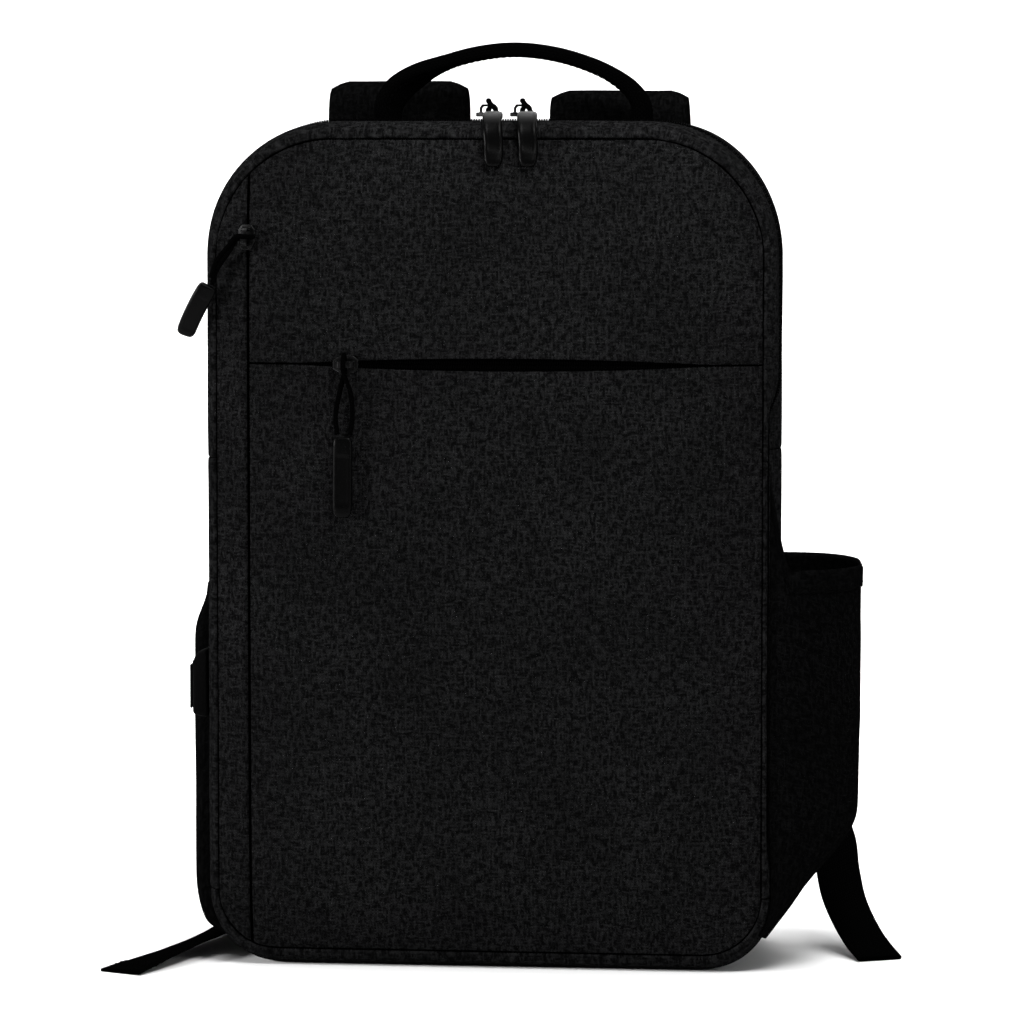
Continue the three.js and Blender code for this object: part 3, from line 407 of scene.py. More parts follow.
@dataclass(frozen=True)
class ClothFinish:
    """Woven cloth whose pattern follows the piece's own UV map, in metres."""

    name: str
    dark: float
    pale: float
    pitch: float
    slub: float
    low: float
    high: float
    relief: float
    sheen: float
    roughness: float = 0.9
    specular: float = 0.12

    def material(self) -> bpy.types.Material:
        """The material, with threads, pale fibres and worn patches."""
        material, nodes, shader = start_material(self.name)
        uv = nodes.add("ShaderNodeUVMap", uv_map="UVMap").outputs[0]
        weave = place_group(nodes, "plain weave", {"Vector": uv, "Pitch": self.pitch, "Slub": self.slub,
                                                   "Low": self.low, "High": self.high})
        place = nodes.add("ShaderNodeTexCoord").outputs["Object"]
        patches = nodes.ramp(nodes.noise(place, 22.0, 3.0), 0.3, 0.7)
        tone = nodes.math("MULTIPLY", weave.outputs["Pale"], nodes.math("ADD", nodes.math("MULTIPLY", patches, 0.3), 0.7))
        nodes.feed(shader.inputs["Base Color"], nodes.blend(tone, grey(self.dark), grey(self.pale)))
        nodes.feed(shader.inputs["Roughness"], self.roughness)
        nodes.feed(shader.inputs["Specular IOR Level"], self.specular)
        nodes.feed(shader.inputs["Sheen Weight"], self.sheen)
        nodes.feed(shader.inputs["Sheen Roughness"], 0.5)
        nodes.feed(shader.inputs["Sheen Tint"], grey(0.5))
        bump = nodes.add("ShaderNodeBump", {"Strength": 0.7, "Distance": self.relief,
                                            "Height": weave.outputs["Height"]})
        nodes.feed(shader.inputs["Normal"], bump.outputs[0])
        return material


@dataclass(frozen=True)
class WebbingFinish:
    """Woven webbing, tape or cord, with ribs along the piece's own UV map."""

    name: str
    colour: float
    across: float
    along: float
    relief: float
    roughness: float = 0.75
    specular: float = 0.22

    def material(self) -> bpy.types.Material:
        """The material, with painted shade in the valleys between ribs and a painted highlight where they stand up."""
        material, nodes, shader = start_material(self.name)
        uv = nodes.add("ShaderNodeUVMap", uv_map="UVMap").outputs[0]
        ribs = place_group(nodes, "webbing ribs", {"Vector": uv, "Across": self.across, "Along": self.along})
        height = ribs.outputs["Height"]
        # Painted shade in the rib valleys and painted highlight on the crests, following the rib height.
        shaded_valley, crest = grey(self.colour * 0.45), grey(self.colour * 1.5)
        nodes.feed(shader.inputs["Base Color"], nodes.blend(height, shaded_valley, crest))
        nodes.feed(shader.inputs["Roughness"], self.roughness)
        nodes.feed(shader.inputs["Specular IOR Level"], self.specular)
        nodes.feed(shader.inputs["Sheen Weight"], 0.0)
        bump = nodes.add("ShaderNodeBump", {"Strength": 0.8, "Distance": self.relief, "Height": height})
        nodes.feed(shader.inputs["Normal"], bump.outputs[0])
        return material


@dataclass(frozen=True)
class AirMeshFinish:
    """Spacer mesh: a knitted face full of small open holes."""

    name: str
    colour: float
    hole: float

    def material(self) -> bpy.types.Material:
        """The material, with round holes in staggered rows, painted dark as the shade inside them."""
        material, nodes, shader = start_material(self.name)
        uv = nodes.add("ShaderNodeUVMap", uv_map="UVMap").outputs[0]
        split = nodes.add("ShaderNodeSeparateXYZ", {0: uv})
        row = nodes.math("FLOOR", nodes.math("DIVIDE", split.outputs[1], self.hole))
        shift = nodes.math("MULTIPLY", nodes.math("MODULO", nodes.math("ABSOLUTE", row), 2.0), 0.5)
        across = nodes.math("ADD", nodes.math("DIVIDE", split.outputs[0], self.hole), shift)
        along = nodes.math("DIVIDE", split.outputs[1], self.hole)
        waves = [nodes.math("ABSOLUTE", nodes.math("SINE", nodes.math("MULTIPLY", v, math.pi))) for v in (across, along)]
        centre = nodes.math("MULTIPLY", waves[0], waves[1])
        hole = nodes.ramp(centre, 0.45, 0.75)
        # Painted shade: the holes are coloured a fifth as bright as the knit, as the shade inside them.
        nodes.feed(shader.inputs["Base Color"], nodes.blend(hole, grey(self.colour), grey(self.colour * 0.2)))
        nodes.feed(shader.inputs["Roughness"], 0.85)
        nodes.feed(shader.inputs["Specular IOR Level"], 0.1)
        nodes.feed(shader.inputs["Sheen Weight"], 0.01)
        bump = nodes.add("ShaderNodeBump", {"Strength": 0.9, "Distance": 0.0007,
                                            "Height": nodes.math("SUBTRACT", 1.0, hole)})
        nodes.feed(shader.inputs["Normal"], bump.outputs[0])
        return material


@dataclass(frozen=True)
class MouldedFinish:
    """Moulded rubber, moulded plastic or enamelled metal, with grain and edge wear."""

    name: str
    colour: float
    worn: float
    roughness: float
    rubbed_roughness: float
    relief: float
    metallic: float = 0.0
    coat: float = 0.0
    specular: float = 0.5

    def material(self) -> bpy.types.Material:
        """The material, duller in its grain and paler where edges are rubbed."""
        material, nodes, shader = start_material(self.name)
        place = nodes.add("ShaderNodeTexCoord").outputs["Object"]
        grain = place_group(nodes, "moulded grain", {"Vector": place})
        wear = place_group(nodes, "edge wear", {"Vector": place})
        nodes.feed(shader.inputs["Base Color"],
                   nodes.blend(wear.outputs["Worn"], grey(self.colour), grey(self.worn)))
        rubbed = nodes.add("ShaderNodeMapRange", {"Value": grain.outputs["Rubbed"], "To Min": self.roughness,
                                                  "To Max": self.rubbed_roughness}).outputs[0]
        nodes.feed(shader.inputs["Roughness"], rubbed)
        nodes.feed(shader.inputs["Metallic"], self.metallic)
        nodes.feed(shader.inputs["Coat Weight"], self.coat)
        nodes.feed(shader.inputs["Coat Roughness"], 0.2)
        nodes.feed(shader.inputs["Specular IOR Level"], self.specular)
        bump = nodes.add("ShaderNodeBump", {"Strength": 0.35, "Distance": self.relief,
                                            "Height": grain.outputs["Height"]})
        nodes.feed(shader.inputs["Normal"], bump.outputs[0])
        return material


@dataclass(frozen=True)
class ThreadFinish:
    """Sewing thread or nylon coil: twisted fibre with a soft shine."""

    name: str
    colour: float
    roughness: float
    specular: float

    def material(self) -> bpy.types.Material:
        """The material, with a fine twist along it."""
        material, nodes, shader = start_material(self.name)
        place = nodes.add("ShaderNodeTexCoord").outputs["Object"]
        twist = nodes.noise(place, 2600.0, 1.0)
        nodes.feed(shader.inputs["Base Color"], nodes.blend(twist, grey(self.colour * 0.6), grey(self.colour * 1.4)))
        nodes.feed(shader.inputs["Roughness"], self.roughness)
        nodes.feed(shader.inputs["Specular IOR Level"], self.specular)
        bump = nodes.add("ShaderNodeBump", {"Strength": 0.4, "Distance": 0.0001, "Height": twist})
        nodes.feed(shader.inputs["Normal"], bump.outputs[0])
        return material


class Finishes:
    """Every finish of the bag, made once."""

    def __init__(self) -> None:
        """Makes the materials."""
        self.heather = ClothFinish("heather_cloth_weave", dark=0.0016, pale=0.0125, pitch=0.00082, slub=0.0046,
                                   low=0.46, high=0.7, relief=0.00024, sheen=0.0, specular=0.0).material()
        self.cloth = ClothFinish("black_cloth_weave", dark=0.0008, pale=0.0036, pitch=0.0007, slub=0.005,
                                 low=0.5, high=0.8, relief=0.00018, sheen=0.0, specular=0.0).material()
        self.air_mesh = AirMeshFinish("air_mesh_knit", colour=0.007, hole=0.0032).material()
        self.webbing = WebbingFinish("webbing_ribs", colour=0.0006, across=0.0014, along=0.0022,
                                     relief=0.0003, specular=0.0).material()
        self.tape = WebbingFinish("zip_tape_twill", colour=0.0008, across=0.0008, along=0.0012,
                                  relief=0.00015, specular=0.0).material()
        self.cord = WebbingFinish("pull_cord_braid", colour=0.0006, across=0.0008, along=0.0014,
                                  relief=0.0003, roughness=0.7, specular=0.0).material()
        self.rubber = MouldedFinish("moulded_rubber_skin", colour=0.0005, worn=0.004, roughness=0.36,
                                    rubbed_roughness=0.3, relief=0.00004, specular=0.04).material()
        self.plastic = MouldedFinish("moulded_plastic_skin", colour=0.0006, worn=0.003, roughness=0.7,
                                     rubbed_roughness=0.6, relief=0.00006, specular=0.02).material()
        self.metal = MouldedFinish("black_metal_enamel", colour=0.0012, worn=0.02, roughness=0.4,
                                   rubbed_roughness=0.32, relief=0.00002, metallic=0.05, coat=0.0,
                                   specular=0.08).material()
        self.coil = ThreadFinish("zip_coil_nylon", colour=0.0006, roughness=0.5, specular=0.0).material()
        self.thread = ThreadFinish("sewing_thread", colour=0.0012, roughness=0.7, specular=0.0).material()


def bake(obj: bpy.types.Object) -> bpy.types.Object:
    """Turns an object with modifiers into one with a plain mesh."""
    depsgraph = bpy.context.evaluated_depsgraph_get()
    mesh = bpy.data.meshes.new_from_object(obj.evaluated_get(depsgraph))
    old = obj.data
    obj.modifiers.clear()
    obj.data = mesh
    mesh.name = obj.name
    if isinstance(old, bpy.types.Mesh):
        bpy.data.meshes.remove(old)
    return obj


def add_object(name: str, mesh: bpy.types.Mesh) -> bpy.types.Object:
    """Puts a mesh into the scene as an object at the origin."""
    obj = bpy.data.objects.new(name, mesh)
    bpy.context.scene.collection.objects.link(obj)
    return obj


def shade_smooth(mesh: bpy.types.Mesh) -> None:
    """Shades every face smooth."""
    mesh.polygons.foreach_set("use_smooth", [True] * len(mesh.polygons))


def triangle_count(obj: bpy.types.Object) -> int:
    """How many triangles a mesh object has."""
    return sum(len(p.vertices) - 2 for p in obj.data.polygons)


def keep_piece(obj: bpy.types.Object, slot: Slot, *nodes: str) -> bpy.types.Object:
    """Gives a finished piece its body, hides the nodes that it stands for, and reports it.

    Args:
        obj: The piece.
        slot: Its material slot; not used.
        *nodes: The frame's nodes that it replaces.

    Returns:
        The piece.
    """
    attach(obj, ROOT)
    if nodes:
        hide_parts(*nodes)
    LOG.info("%s: %d triangles", obj.name, triangle_count(obj))
    return obj


def cloth_sheet(name: str, points: Grid, uv: list[list[tuple[float, float]]], outward: Callable[[Vector], Vector],
                wall: float, material: bpy.types.Material, rounds: int = 1) -> bpy.types.Object:
    """A sheet of cloth with rounded edges, from the grid of its outer face.

    Args:
        name: The piece's name.
        points: Rows of points on its outer face.
        uv: The place of each point in the cloth, in metres.
        outward: Gives the way out at a point.
        wall: The cloth's thickness.
        material: Its finish.
        rounds: Levels of subdivision.

    Returns:
        The piece, without modifiers.
    """
    rows, columns = len(points), len(points[0])
    verts = [p for row in points for p in row]
    faces = [(i * columns + j, i * columns + j + 1, (i + 1) * columns + j + 1, (i + 1) * columns + j)
             for i in range(rows - 1) for j in range(columns - 1)]
    a, b, c, d = (verts[k] for k in faces[len(faces) // 2 + columns // 2])
    if (c - a).cross(d - b).dot(outward((a + c) / 2)) < 0:
        faces = [face[::-1] for face in faces]
    mesh = bpy.data.meshes.new(name)
    mesh.from_pydata([tuple(v) for v in verts], [], faces)
    flat = [place for row in uv for place in row]
    layer = mesh.uv_layers.new(name="UVMap")
    for loop in mesh.loops:
        layer.data[loop.index].uv = flat[loop.vertex_index]
    mesh.materials.append(material)
    shade_smooth(mesh)
    obj = add_object(name, mesh)
    solid = obj.modifiers.new("wall", "SOLIDIFY")
    solid.thickness = wall
    solid.offset = -1
    solid.use_even_offset = False
    if rounds:
        smooth = obj.modifiers.new("smooth", "SUBSURF")
        smooth.levels = smooth.render_levels = rounds
    return bake(obj)


@dataclass
class Station:
    """One place along a strap: its middle, the way across, its width and its thickness."""

    point: Vector
    across: Vector
    width: float
    thickness: float


Profile = Callable[[float, Station], list[tuple[float, float]]]


def smooth_stations(rows: Sequence[Station], steps: int) -> list[Station]:
    """Stations along the smooth curve through a few of them.

    Args:
        rows: The stations to pass through.
        steps: The number of stretches between the new stations.

    Returns:
        The new stations.
    """
    points = smooth_path([row.point for row in rows], steps)
    found = []
    for k, point in enumerate(points):
        place = k / steps * (len(rows) - 1)
        i = min(int(place), len(rows) - 2)
        low, high, share = rows[i], rows[i + 1], place - i
        found.append(Station(point, low.across.lerp(high.across, share), mix(low.width, high.width, share),
                             mix(low.thickness, high.thickness, share)))
    return found


def strap_frames(stations: Sequence[Station]) -> list[tuple[Vector, Vector, Vector]]:
    """The ways along, across and through a strap at each station."""
    frames = []
    for i, station in enumerate(stations):
        before = stations[max(i - 1, 0)].point
        after = stations[min(i + 1, len(stations) - 1)].point
        along = (after - before).normalized()
        through = along.cross(station.across).normalized()
        frames.append((along, through.cross(along).normalized(), through))
    return frames


def sweep(name: str, stations: Sequence[Station], profile: Profile, material: bpy.types.Material,
          rounds: int = 0, faces_of: Callable[[float], int] | None = None,
          more: Sequence[bpy.types.Material] = ()) -> bpy.types.Object:
    """A closed strap, cord or grip along stations.

    Args:
        name: The piece's name.
        stations: Where it goes.
        profile: Gives the section's outline at a share of the length, as offsets across and through.
        material: Its finish.
        rounds: Levels of subdivision.
        faces_of: Picks a material for a face by its place round the section, from 0 to 1.
        more: Further finishes that faces_of may pick.

    Returns:
        The piece, without modifiers.
    """
    frames = strap_frames(stations)
    count = len(stations)
    sections = [profile(i / (count - 1), station) for i, station in enumerate(stations)]
    n = len(sections[0])
    verts: list[Vector] = []
    for station, (_, across, through), section in zip(stations, frames, sections):
        verts += [station.point + across * a + through * t for a, t in section]
    lengths = [0.0]
    for i in range(1, count):
        lengths.append(lengths[-1] + (stations[i].point - stations[i - 1].point).length)
    faces, places, picks = [], [], []
    for i in range(count - 1):
        girths = []
        for section in (sections[i], sections[i + 1]):
            girth = [0.0]
            for j in range(n):
                (a0, t0), (a1, t1) = section[j], section[(j + 1) % n]
                girth.append(girth[-1] + math.hypot(a1 - a0, t1 - t0))
            girths.append([g - girth[-1] / 2 for g in girth])
        for j in range(n):
            faces.append((i * n + j, i * n + (j + 1) % n, (i + 1) * n + (j + 1) % n, (i + 1) * n + j))
            places.append([(girths[0][j], lengths[i]), (girths[0][j + 1], lengths[i]),
                           (girths[1][j + 1], lengths[i + 1]), (girths[1][j], lengths[i + 1])])
            picks.append(faces_of((j + 0.5) / n) if faces_of else 0)
    for i in (0, count - 1):
        ring = tuple(i * n + j for j in range(n))
        faces.append(ring[::-1] if i == 0 else ring)
        places.append([(0.0, lengths[i])] * n)
        picks.append(0)
    mesh = bpy.data.meshes.new(name)
    mesh.from_pydata([tuple(v) for v in verts], [], faces)
    layer = mesh.uv_layers.new(name="UVMap")
    for polygon, corners, pick in zip(mesh.polygons, places, picks):
        polygon.material_index = pick
        for loop, place in zip(polygon.loop_indices, corners):
            layer.data[loop].uv = place
    for one in (material, *more):
        mesh.materials.append(one)
    shade_smooth(mesh)
    face_outwards(mesh)
    obj = add_object(name, mesh)
    if rounds:
        smooth = obj.modifiers.new("smooth", "SUBSURF")
        smooth.levels = smooth.render_levels = rounds
        return bake(obj)
    return obj


def face_outwards(mesh: bpy.types.Mesh) -> None:
    """Turns the faces of a closed mesh outwards."""
    work = bmesh.new()
    work.from_mesh(mesh)
    bmesh.ops.recalc_face_normals(work, faces=work.faces)
    work.to_mesh(mesh)
    work.free()


def rounded_profile(corner: float, steps: int = 4, crown: float = 0.0) -> Profile:
    """A rectangle with round corners, and faces that may be crowned.

    Args:
        corner: The corner's radius as a share of half the thickness.
        steps: Points along each corner.
        crown: How far the middle stands out, as a share of half the thickness.

    Returns:
        The profile's function.
    """
    def outline(_: float, station: Station) -> list[tuple[float, float]]:
        """The section at one station."""
        wide, thick = station.width / 2, station.thickness / 2
        radius = min(thick, wide) * corner
        found = []
        for quarter, (sx, st) in enumerate(((1, 1), (-1, 1), (-1, -1), (1, -1))):
            for k in range(steps + 1):
                angle = math.pi / 2 * (quarter + k / steps)
                found.append((sx * (wide - radius) + radius * math.cos(angle),
                              st * (thick - radius) + radius * math.sin(angle)))
            if crown:
                span = wide - radius
                for k in (1, 2, 3) if quarter in (0, 2) else ():
                    a = st * mix(span, -span, k / 4)
                    found.append((a, st * thick * (1 + crown * (1 - (a / span) ** 2))))
        return found
    return outline


class ElementShape(Enum):
    """What a repeat sets along its path."""

    STITCH = "stitch"
    COIL = "coil"


@dataclass(frozen=True)
class PathRepeat:
    """Small rounded elements along a path, made by Geometry Nodes."""

    shape: ElementShape
    pitch: float
    length: float
    width: float
    height: float
    lift: float = 0.0
    aside: float = 0.0
    turn: float = 0.0
    jitter: float = 0.04
    seed: int = 7

    def tree(self) -> bpy.types.NodeTree:
        """The tree: it resamples the path, sets an element on each point and realizes them."""
        name = f"repeat_{self.shape.value}"
        known = bpy.data.node_groups.get(name)
        if known:
            return known
        tree = bpy.data.node_groups.new(name, "GeometryNodeTree")
        sockets = [("Geometry", "Geometry"), ("Pitch", "Float"), ("Length", "Float"), ("Width", "Float"),
                   ("Height", "Float"), ("Lift", "Float"), ("Aside", "Float"), ("Turn", "Float"),
                   ("Jitter", "Float"), ("Seed", "Int"), ("Finish", "Material")]
        for label, kind in sockets:
            tree.interface.new_socket(name=label, in_out="INPUT", socket_type="NodeSocket" + kind)
        tree.interface.new_socket(name="Geometry", in_out="OUTPUT", socket_type="NodeSocketGeometry")
        nodes = Nodes(tree)
        take, give = tree.nodes.new("NodeGroupInput"), tree.nodes.new("NodeGroupOutput")
        curve = nodes.add("GeometryNodeMeshToCurve", {"Mesh": take.outputs["Geometry"]})
        even = nodes.add("GeometryNodeResampleCurve", {"Curve": curve.outputs[0]}, mode="LENGTH")
        nodes.feed(even.inputs["Length"], take.outputs["Pitch"])
        out = nodes.add("GeometryNodeInputNamedAttribute", {"Name": "way_out"}, data_type="FLOAT_VECTOR").outputs[0]
        along = nodes.add("GeometryNodeInputTangent").outputs[0]
        across = nodes.add("ShaderNodeVectorMath", {0: out, 1: along}, operation="CROSS_PRODUCT").outputs[0]
        lifted = nodes.add("ShaderNodeVectorMath", {0: out, "Scale": take.outputs["Lift"]}, operation="SCALE")
        shifted = nodes.add("ShaderNodeVectorMath", {0: across, "Scale": take.outputs["Aside"]}, operation="SCALE")
        offset = nodes.add("ShaderNodeVectorMath", {0: lifted.outputs[0], 1: shifted.outputs[0]}, operation="ADD")
        upright = nodes.add("FunctionNodeAlignRotationToVector", {"Vector": out}, axis="Z")
        facing = nodes.add("FunctionNodeAlignRotationToVector",
                           {"Rotation": upright.outputs[0], "Vector": along}, axis="X", pivot_axis="Z")
        spin = nodes.add("FunctionNodeRandomValue", data_type="FLOAT")
        nodes.feed(spin.inputs["Seed"], take.outputs["Seed"])
        low = nodes.math("SUBTRACT", take.outputs["Turn"], take.outputs["Jitter"])
        high = nodes.math("ADD", take.outputs["Turn"], take.outputs["Jitter"])
        floats = [s for s in spin.inputs if s.type == "VALUE" and s.enabled]
        nodes.feed(floats[0], low)
        nodes.feed(floats[1], high)
        value = next(s for s in spin.outputs if s.type == "VALUE" and s.enabled)
        angles = nodes.join(0.0, 0.0, value)
        turned = nodes.add("FunctionNodeRotateRotation", rotation_space="LOCAL")
        nodes.feed(turned.inputs[0], facing.outputs[0])
        nodes.feed(turned.inputs[1], nodes.add("FunctionNodeEulerToRotation", {0: angles}).outputs[0])
        ball = nodes.add("GeometryNodeMeshUVSphere", {"Segments": 6, "Rings": 5, "Radius": 0.5})
        size = nodes.join(take.outputs["Length"], take.outputs["Width"], take.outputs["Height"])
        element = nodes.add("GeometryNodeTransform", {"Geometry": ball.outputs[0], "Scale": size})
        moved = nodes.add("GeometryNodeSetPosition", {"Geometry": even.outputs[0], "Offset": offset.outputs[0]})
        copies = nodes.add("GeometryNodeInstanceOnPoints", {"Points": moved.outputs[0],
                                                            "Instance": element.outputs[0]})
        nodes.feed(copies.inputs["Rotation"], turned.outputs[0])
        real = nodes.add("GeometryNodeRealizeInstances", {"Geometry": copies.outputs[0]})
        soft = nodes.add("GeometryNodeSetShadeSmooth", {"Geometry": real.outputs[0]})
        dressed = nodes.add("GeometryNodeSetMaterial", {"Geometry": soft.outputs[0]})
        nodes.feed(dressed.inputs["Material"], take.outputs["Finish"])
        nodes.feed(give.inputs[0], dressed.outputs[0])
        return tree

    def make(self, name: str, paths: Iterable[Sequence[tuple[Vector, Vector]]],
             finish: bpy.types.Material) -> bpy.types.Object:
        """Sets the elements along paths.

        Args:
            name: The piece's name.
            paths: Lines of points, each with the way out of the surface there.
            finish: The elements' material.

        Returns:
            The piece, a plain mesh.
        """
        verts, edges, outs = [], [], []
        for path in paths:
            start = len(verts)
            verts += [tuple(point) for point, _ in path]
            outs += [value for _, out in path for value in out]
            edges += [(k, k + 1) for k in range(start, len(verts) - 1)]
        mesh = bpy.data.meshes.new(name)
        mesh.from_pydata(verts, edges, [])
        attribute = mesh.attributes.new("way_out", "FLOAT_VECTOR", "POINT")
        attribute.data.foreach_set("vector", outs)
        obj = add_object(name, mesh)
        modifier = obj.modifiers.new("repeat", "NODES")
        modifier.node_group = self.tree()
        values = {"Pitch": self.pitch, "Length": self.length, "Width": self.width, "Height": self.height,
                  "Lift": self.lift, "Aside": self.aside, "Turn": self.turn, "Jitter": self.jitter,
                  "Seed": self.seed, "Finish": finish}
        for item in modifier.node_group.interface.items_tree:
            if item.in_out == "INPUT" and item.name in values:
                modifier[item.identifier] = values[item.name]
        bake(obj)
        if "way_out" in obj.data.attributes:
            obj.data.attributes.remove(obj.data.attributes["way_out"])
        return obj


SEWING = PathRepeat(ElementShape.STITCH, pitch=3.4 * MM, length=2.7 * MM, width=0.62 * MM, height=0.5 * MM,
                    lift=0.1 * MM)


def face_stitches(name: str, paths: Iterable[Sequence[tuple[Vector, Vector]]], finish: bpy.types.Material,
                  slot: Slot) -> bpy.types.Object:
    """Rows of sewing stitches on a surface."""
    return keep_piece(SEWING.make(name, paths, finish), slot)


@dataclass(frozen=True)
class Outline:
    """One place on the seam outline: where it is, the way out, and how far along it lies."""

    x: float
    z: float
    nx: float
    nz: float
    along: float


ROLL = [
    (0.0, 0.0, 0.0), (0.03, 0.5, 0.62), (0.09, 1.0, 1.0), (0.3, 0.92, 1.0),
    (0.62, 0.55, 1.0), (0.91, 0.4, 1.0), (0.97, 0.25, 0.62), (1.0, 0.0, 0.0),
]


@dataclass(frozen=True)
class BagForm:
    """The bag's main form: front and back faces inside a rounded rectangle, and the gusset round them."""

    half_width: float
    low: float
    high: float
    front_y: float
    back_y: float
    side_roll: float
    end_roll: float
    inset: float = 2.2 * MM
    top_radius: float = 62 * MM
    low_radius: float = 32 * MM
    front_bulge: float = 13 * MM
    back_bulge: float = 3 * MM
    dent_depth: float = 9 * MM
    dent_low: float = 46 * MM
    dent_high: float = 304 * MM
    dent_fade: float = 32 * MM

    @classmethod
    def from_frame(cls) -> BagForm:
        """Reads the form's sizes from the frame's own panels."""
        inset = cls.inset
        lower, side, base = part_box("front_lower_panel"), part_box("gusset_side_left"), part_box("base_panel")
        half_width = lower[1].x + inset
        low = lower[0].z - inset
        return cls(half_width=half_width, low=low, high=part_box("front_upper_panel")[1].z + inset,
                   front_y=side[0].y, back_y=side[1].y, side_roll=-side[0].x - half_width,
                   end_roll=low - base[0].z)

    @property
    def depth(self) -> float:
        """From the front seam to the back seam."""
        return self.back_y - self.front_y

    @property
    def crown(self) -> float:
        """The height of the bag's top."""
        return self.high + self.end_roll

    def edge_half_width(self, z: float, inset: float) -> float:
        """Half the outline's width at a height."""
        over = z - (self.high - self.top_radius)
        under = self.low + self.low_radius - z
        for beyond, radius in ((over, self.top_radius), (under, self.low_radius)):
            if beyond > 0:
                return self.half_width - radius + math.sqrt(max((radius - inset) ** 2 - beyond ** 2, 0))
        return self.half_width - inset

    def top_at(self, x: float) -> float:
        """The highest place of a panel at a place across."""
        return self.high - self.fall(x, self.top_radius)

    def low_at(self, x: float) -> float:
        """The lowest place of a panel at a place across."""
        return self.low + self.fall(x, self.low_radius)

    def fall(self, x: float, radius: float) -> float:
        """How far a round corner draws a panel's edge in at a place across."""
        beyond = abs(x) - (self.half_width - radius)
        reach = radius - self.inset
        return radius - (math.sqrt(max(reach ** 2 - beyond ** 2, 0)) if beyond > 0 else reach)

    def crown_share(self, x: float, z: float) -> float:
        """Share of a panel's full bulge at a place."""
        middle = (self.low + self.high) / 2
        tall = self.high - self.low
        across = min(abs(x) / max(self.edge_half_width(z, self.inset), MM), 1)
        up = min(abs(z - middle) / (tall / 2 - self.inset), 1)
        return (1 - across ** 4) * (1 - up ** 7) * (1 - 0.12 * (z - middle) / tall)

    def front(self, x: float, z: float) -> float:
        """The front's Y at a place."""
        return self.front_y - self.front_bulge * self.crown_share(x, z)

    def back(self, x: float, z: float) -> float:
        """The back's Y at a place."""
        return self.back_y + self.back_bulge * self.crown_share(x, z)

    def edge_distance(self, x: float, z: float) -> float:
        """How far a place on a panel is from the panel's edge, nearly."""
        return min(self.edge_half_width(z, self.inset) - abs(x), self.top_at(x) - z, z - self.low_at(x))

    def dent(self, x: float, y: float, z: float) -> float:
        """How deep the right side is pressed in."""
        if x <= 0:
            return 0.0
        along = ease(z, self.dent_low, self.dent_low + self.dent_fade)
        along *= 1 - ease(z, self.dent_high - self.dent_fade, self.dent_high)
        share = (y - self.front_y) / self.depth
        return self.dent_depth * along * ease(share, 0.0, 0.1) * (1 - ease(share, 0.7, 0.9))

    def gusset(self, at: Outline, y: float, lift: float = 0.0) -> Vector:
        """A point on the gusset's outer face.

        Args:
            at: The place on the outline.
            y: The place in the depth.
            lift: How far outside the face the point lies.

        Returns:
            The point.
        """
        depth = (y - self.front_y) / self.depth
        side = self.side_roll * read_table(ROLL, depth, 1)
        end = self.end_roll * read_table(ROLL, depth, 2)
        dent = self.dent(at.x, y, at.z) * at.nx ** 2
        reach = side * at.nx ** 2 + end * at.nz ** 2 - dent + lift
        return Vector((at.x + at.nx * reach, y, at.z + at.nz * reach))

    def station(self, side: Side, z: float) -> Outline:
        """The place on a side's outline at a height, which turns under with the bottom corner."""
        corner_z = self.low + self.low_radius
        if z >= corner_z:
            return Outline(side.value * self.half_width, z, side.value, 0.0, z)
        turn = math.asin(min((corner_z - z) / self.low_radius, 1))
        nx, nz = side.value * math.cos(turn), -math.sin(turn)
        x = side.value * (self.half_width - self.low_radius) + self.low_radius * nx
        return Outline(x, z, nx, nz, corner_z - turn * self.low_radius)

    def corner(self, side: Side, radius: float, centre_z: float, start: float, end: float,
               count: int) -> list[Outline]:
        """Places round one corner of the outline, between two angles in degrees."""
        found = []
        for k in range(count + 1):
            turn = math.radians(mix(start, end, k / count))
            nx, nz = side.value * math.cos(turn), math.sin(turn)
            x = side.value * (self.half_width - radius) + radius * nx
            found.append(Outline(x, centre_z + radius * nz, nx, nz, 0.0))
        return found

    def arch(self, end_height: float, step: float) -> list[Outline]:
        """Up the left side, over the top and down the right side."""
        corner_z = self.high - self.top_radius
        flat = self.half_width - self.top_radius
        bends = max(round(math.pi / 2 * self.top_radius / step), 4)
        heights = spaced(end_height, corner_z, step)
        top = [Outline(x, self.high, 0.0, 1.0, 0.0) for x in
               (mix(-flat, flat, k / round(2 * flat / step)) for k in range(1, round(2 * flat / step)))]
        left = [Outline(-self.half_width, z, -1.0, 0.0, 0.0) for z in heights[:-1]]
        right = [Outline(self.half_width, z, 1.0, 0.0, 0.0) for z in reversed(heights[:-1])]
        return self.measured([*left, *self.corner(Side.LEFT, self.top_radius, corner_z, 0, 90, bends), *top,
                              *self.corner(Side.RIGHT, self.top_radius, corner_z, 90, 0, bends), *right])

    def under(self, step: float) -> list[Outline]:
        """Round the left bottom corner, along the base and round the right one."""
        corner_z = self.low + self.low_radius
        flat = self.half_width - self.low_radius
        bends = max(round(math.pi / 2 * self.low_radius / step), 4)
        count = round(2 * flat / step)
        floor = [Outline(mix(-flat, flat, k / count), self.low, 0.0, -1.0, 0.0) for k in range(1, count)]
        return self.measured([*self.corner(Side.LEFT, self.low_radius, corner_z, 0, -90, bends), *floor,
                              *self.corner(Side.RIGHT, self.low_radius, corner_z, -90, 0, bends)])

    @staticmethod
    def measured(places: Sequence[Outline]) -> list[Outline]:
        """The same places, each with its distance along the outline."""
        found, along = [], 0.0
        for k, at in enumerate(places):
            if k:
                along += math.hypot(at.x - places[k - 1].x, at.z - places[k - 1].z)
            found.append(Outline(at.x, at.z, at.nx, at.nz, along))
        return found


def seam_roll(distance: float, depth: float = 0.9 * MM, reach: float = 1.3 * MM) -> float:
    """How far cloth turns in towards a seam at a distance from it."""
    return depth * math.exp(-max(distance, 0.0) / reach)


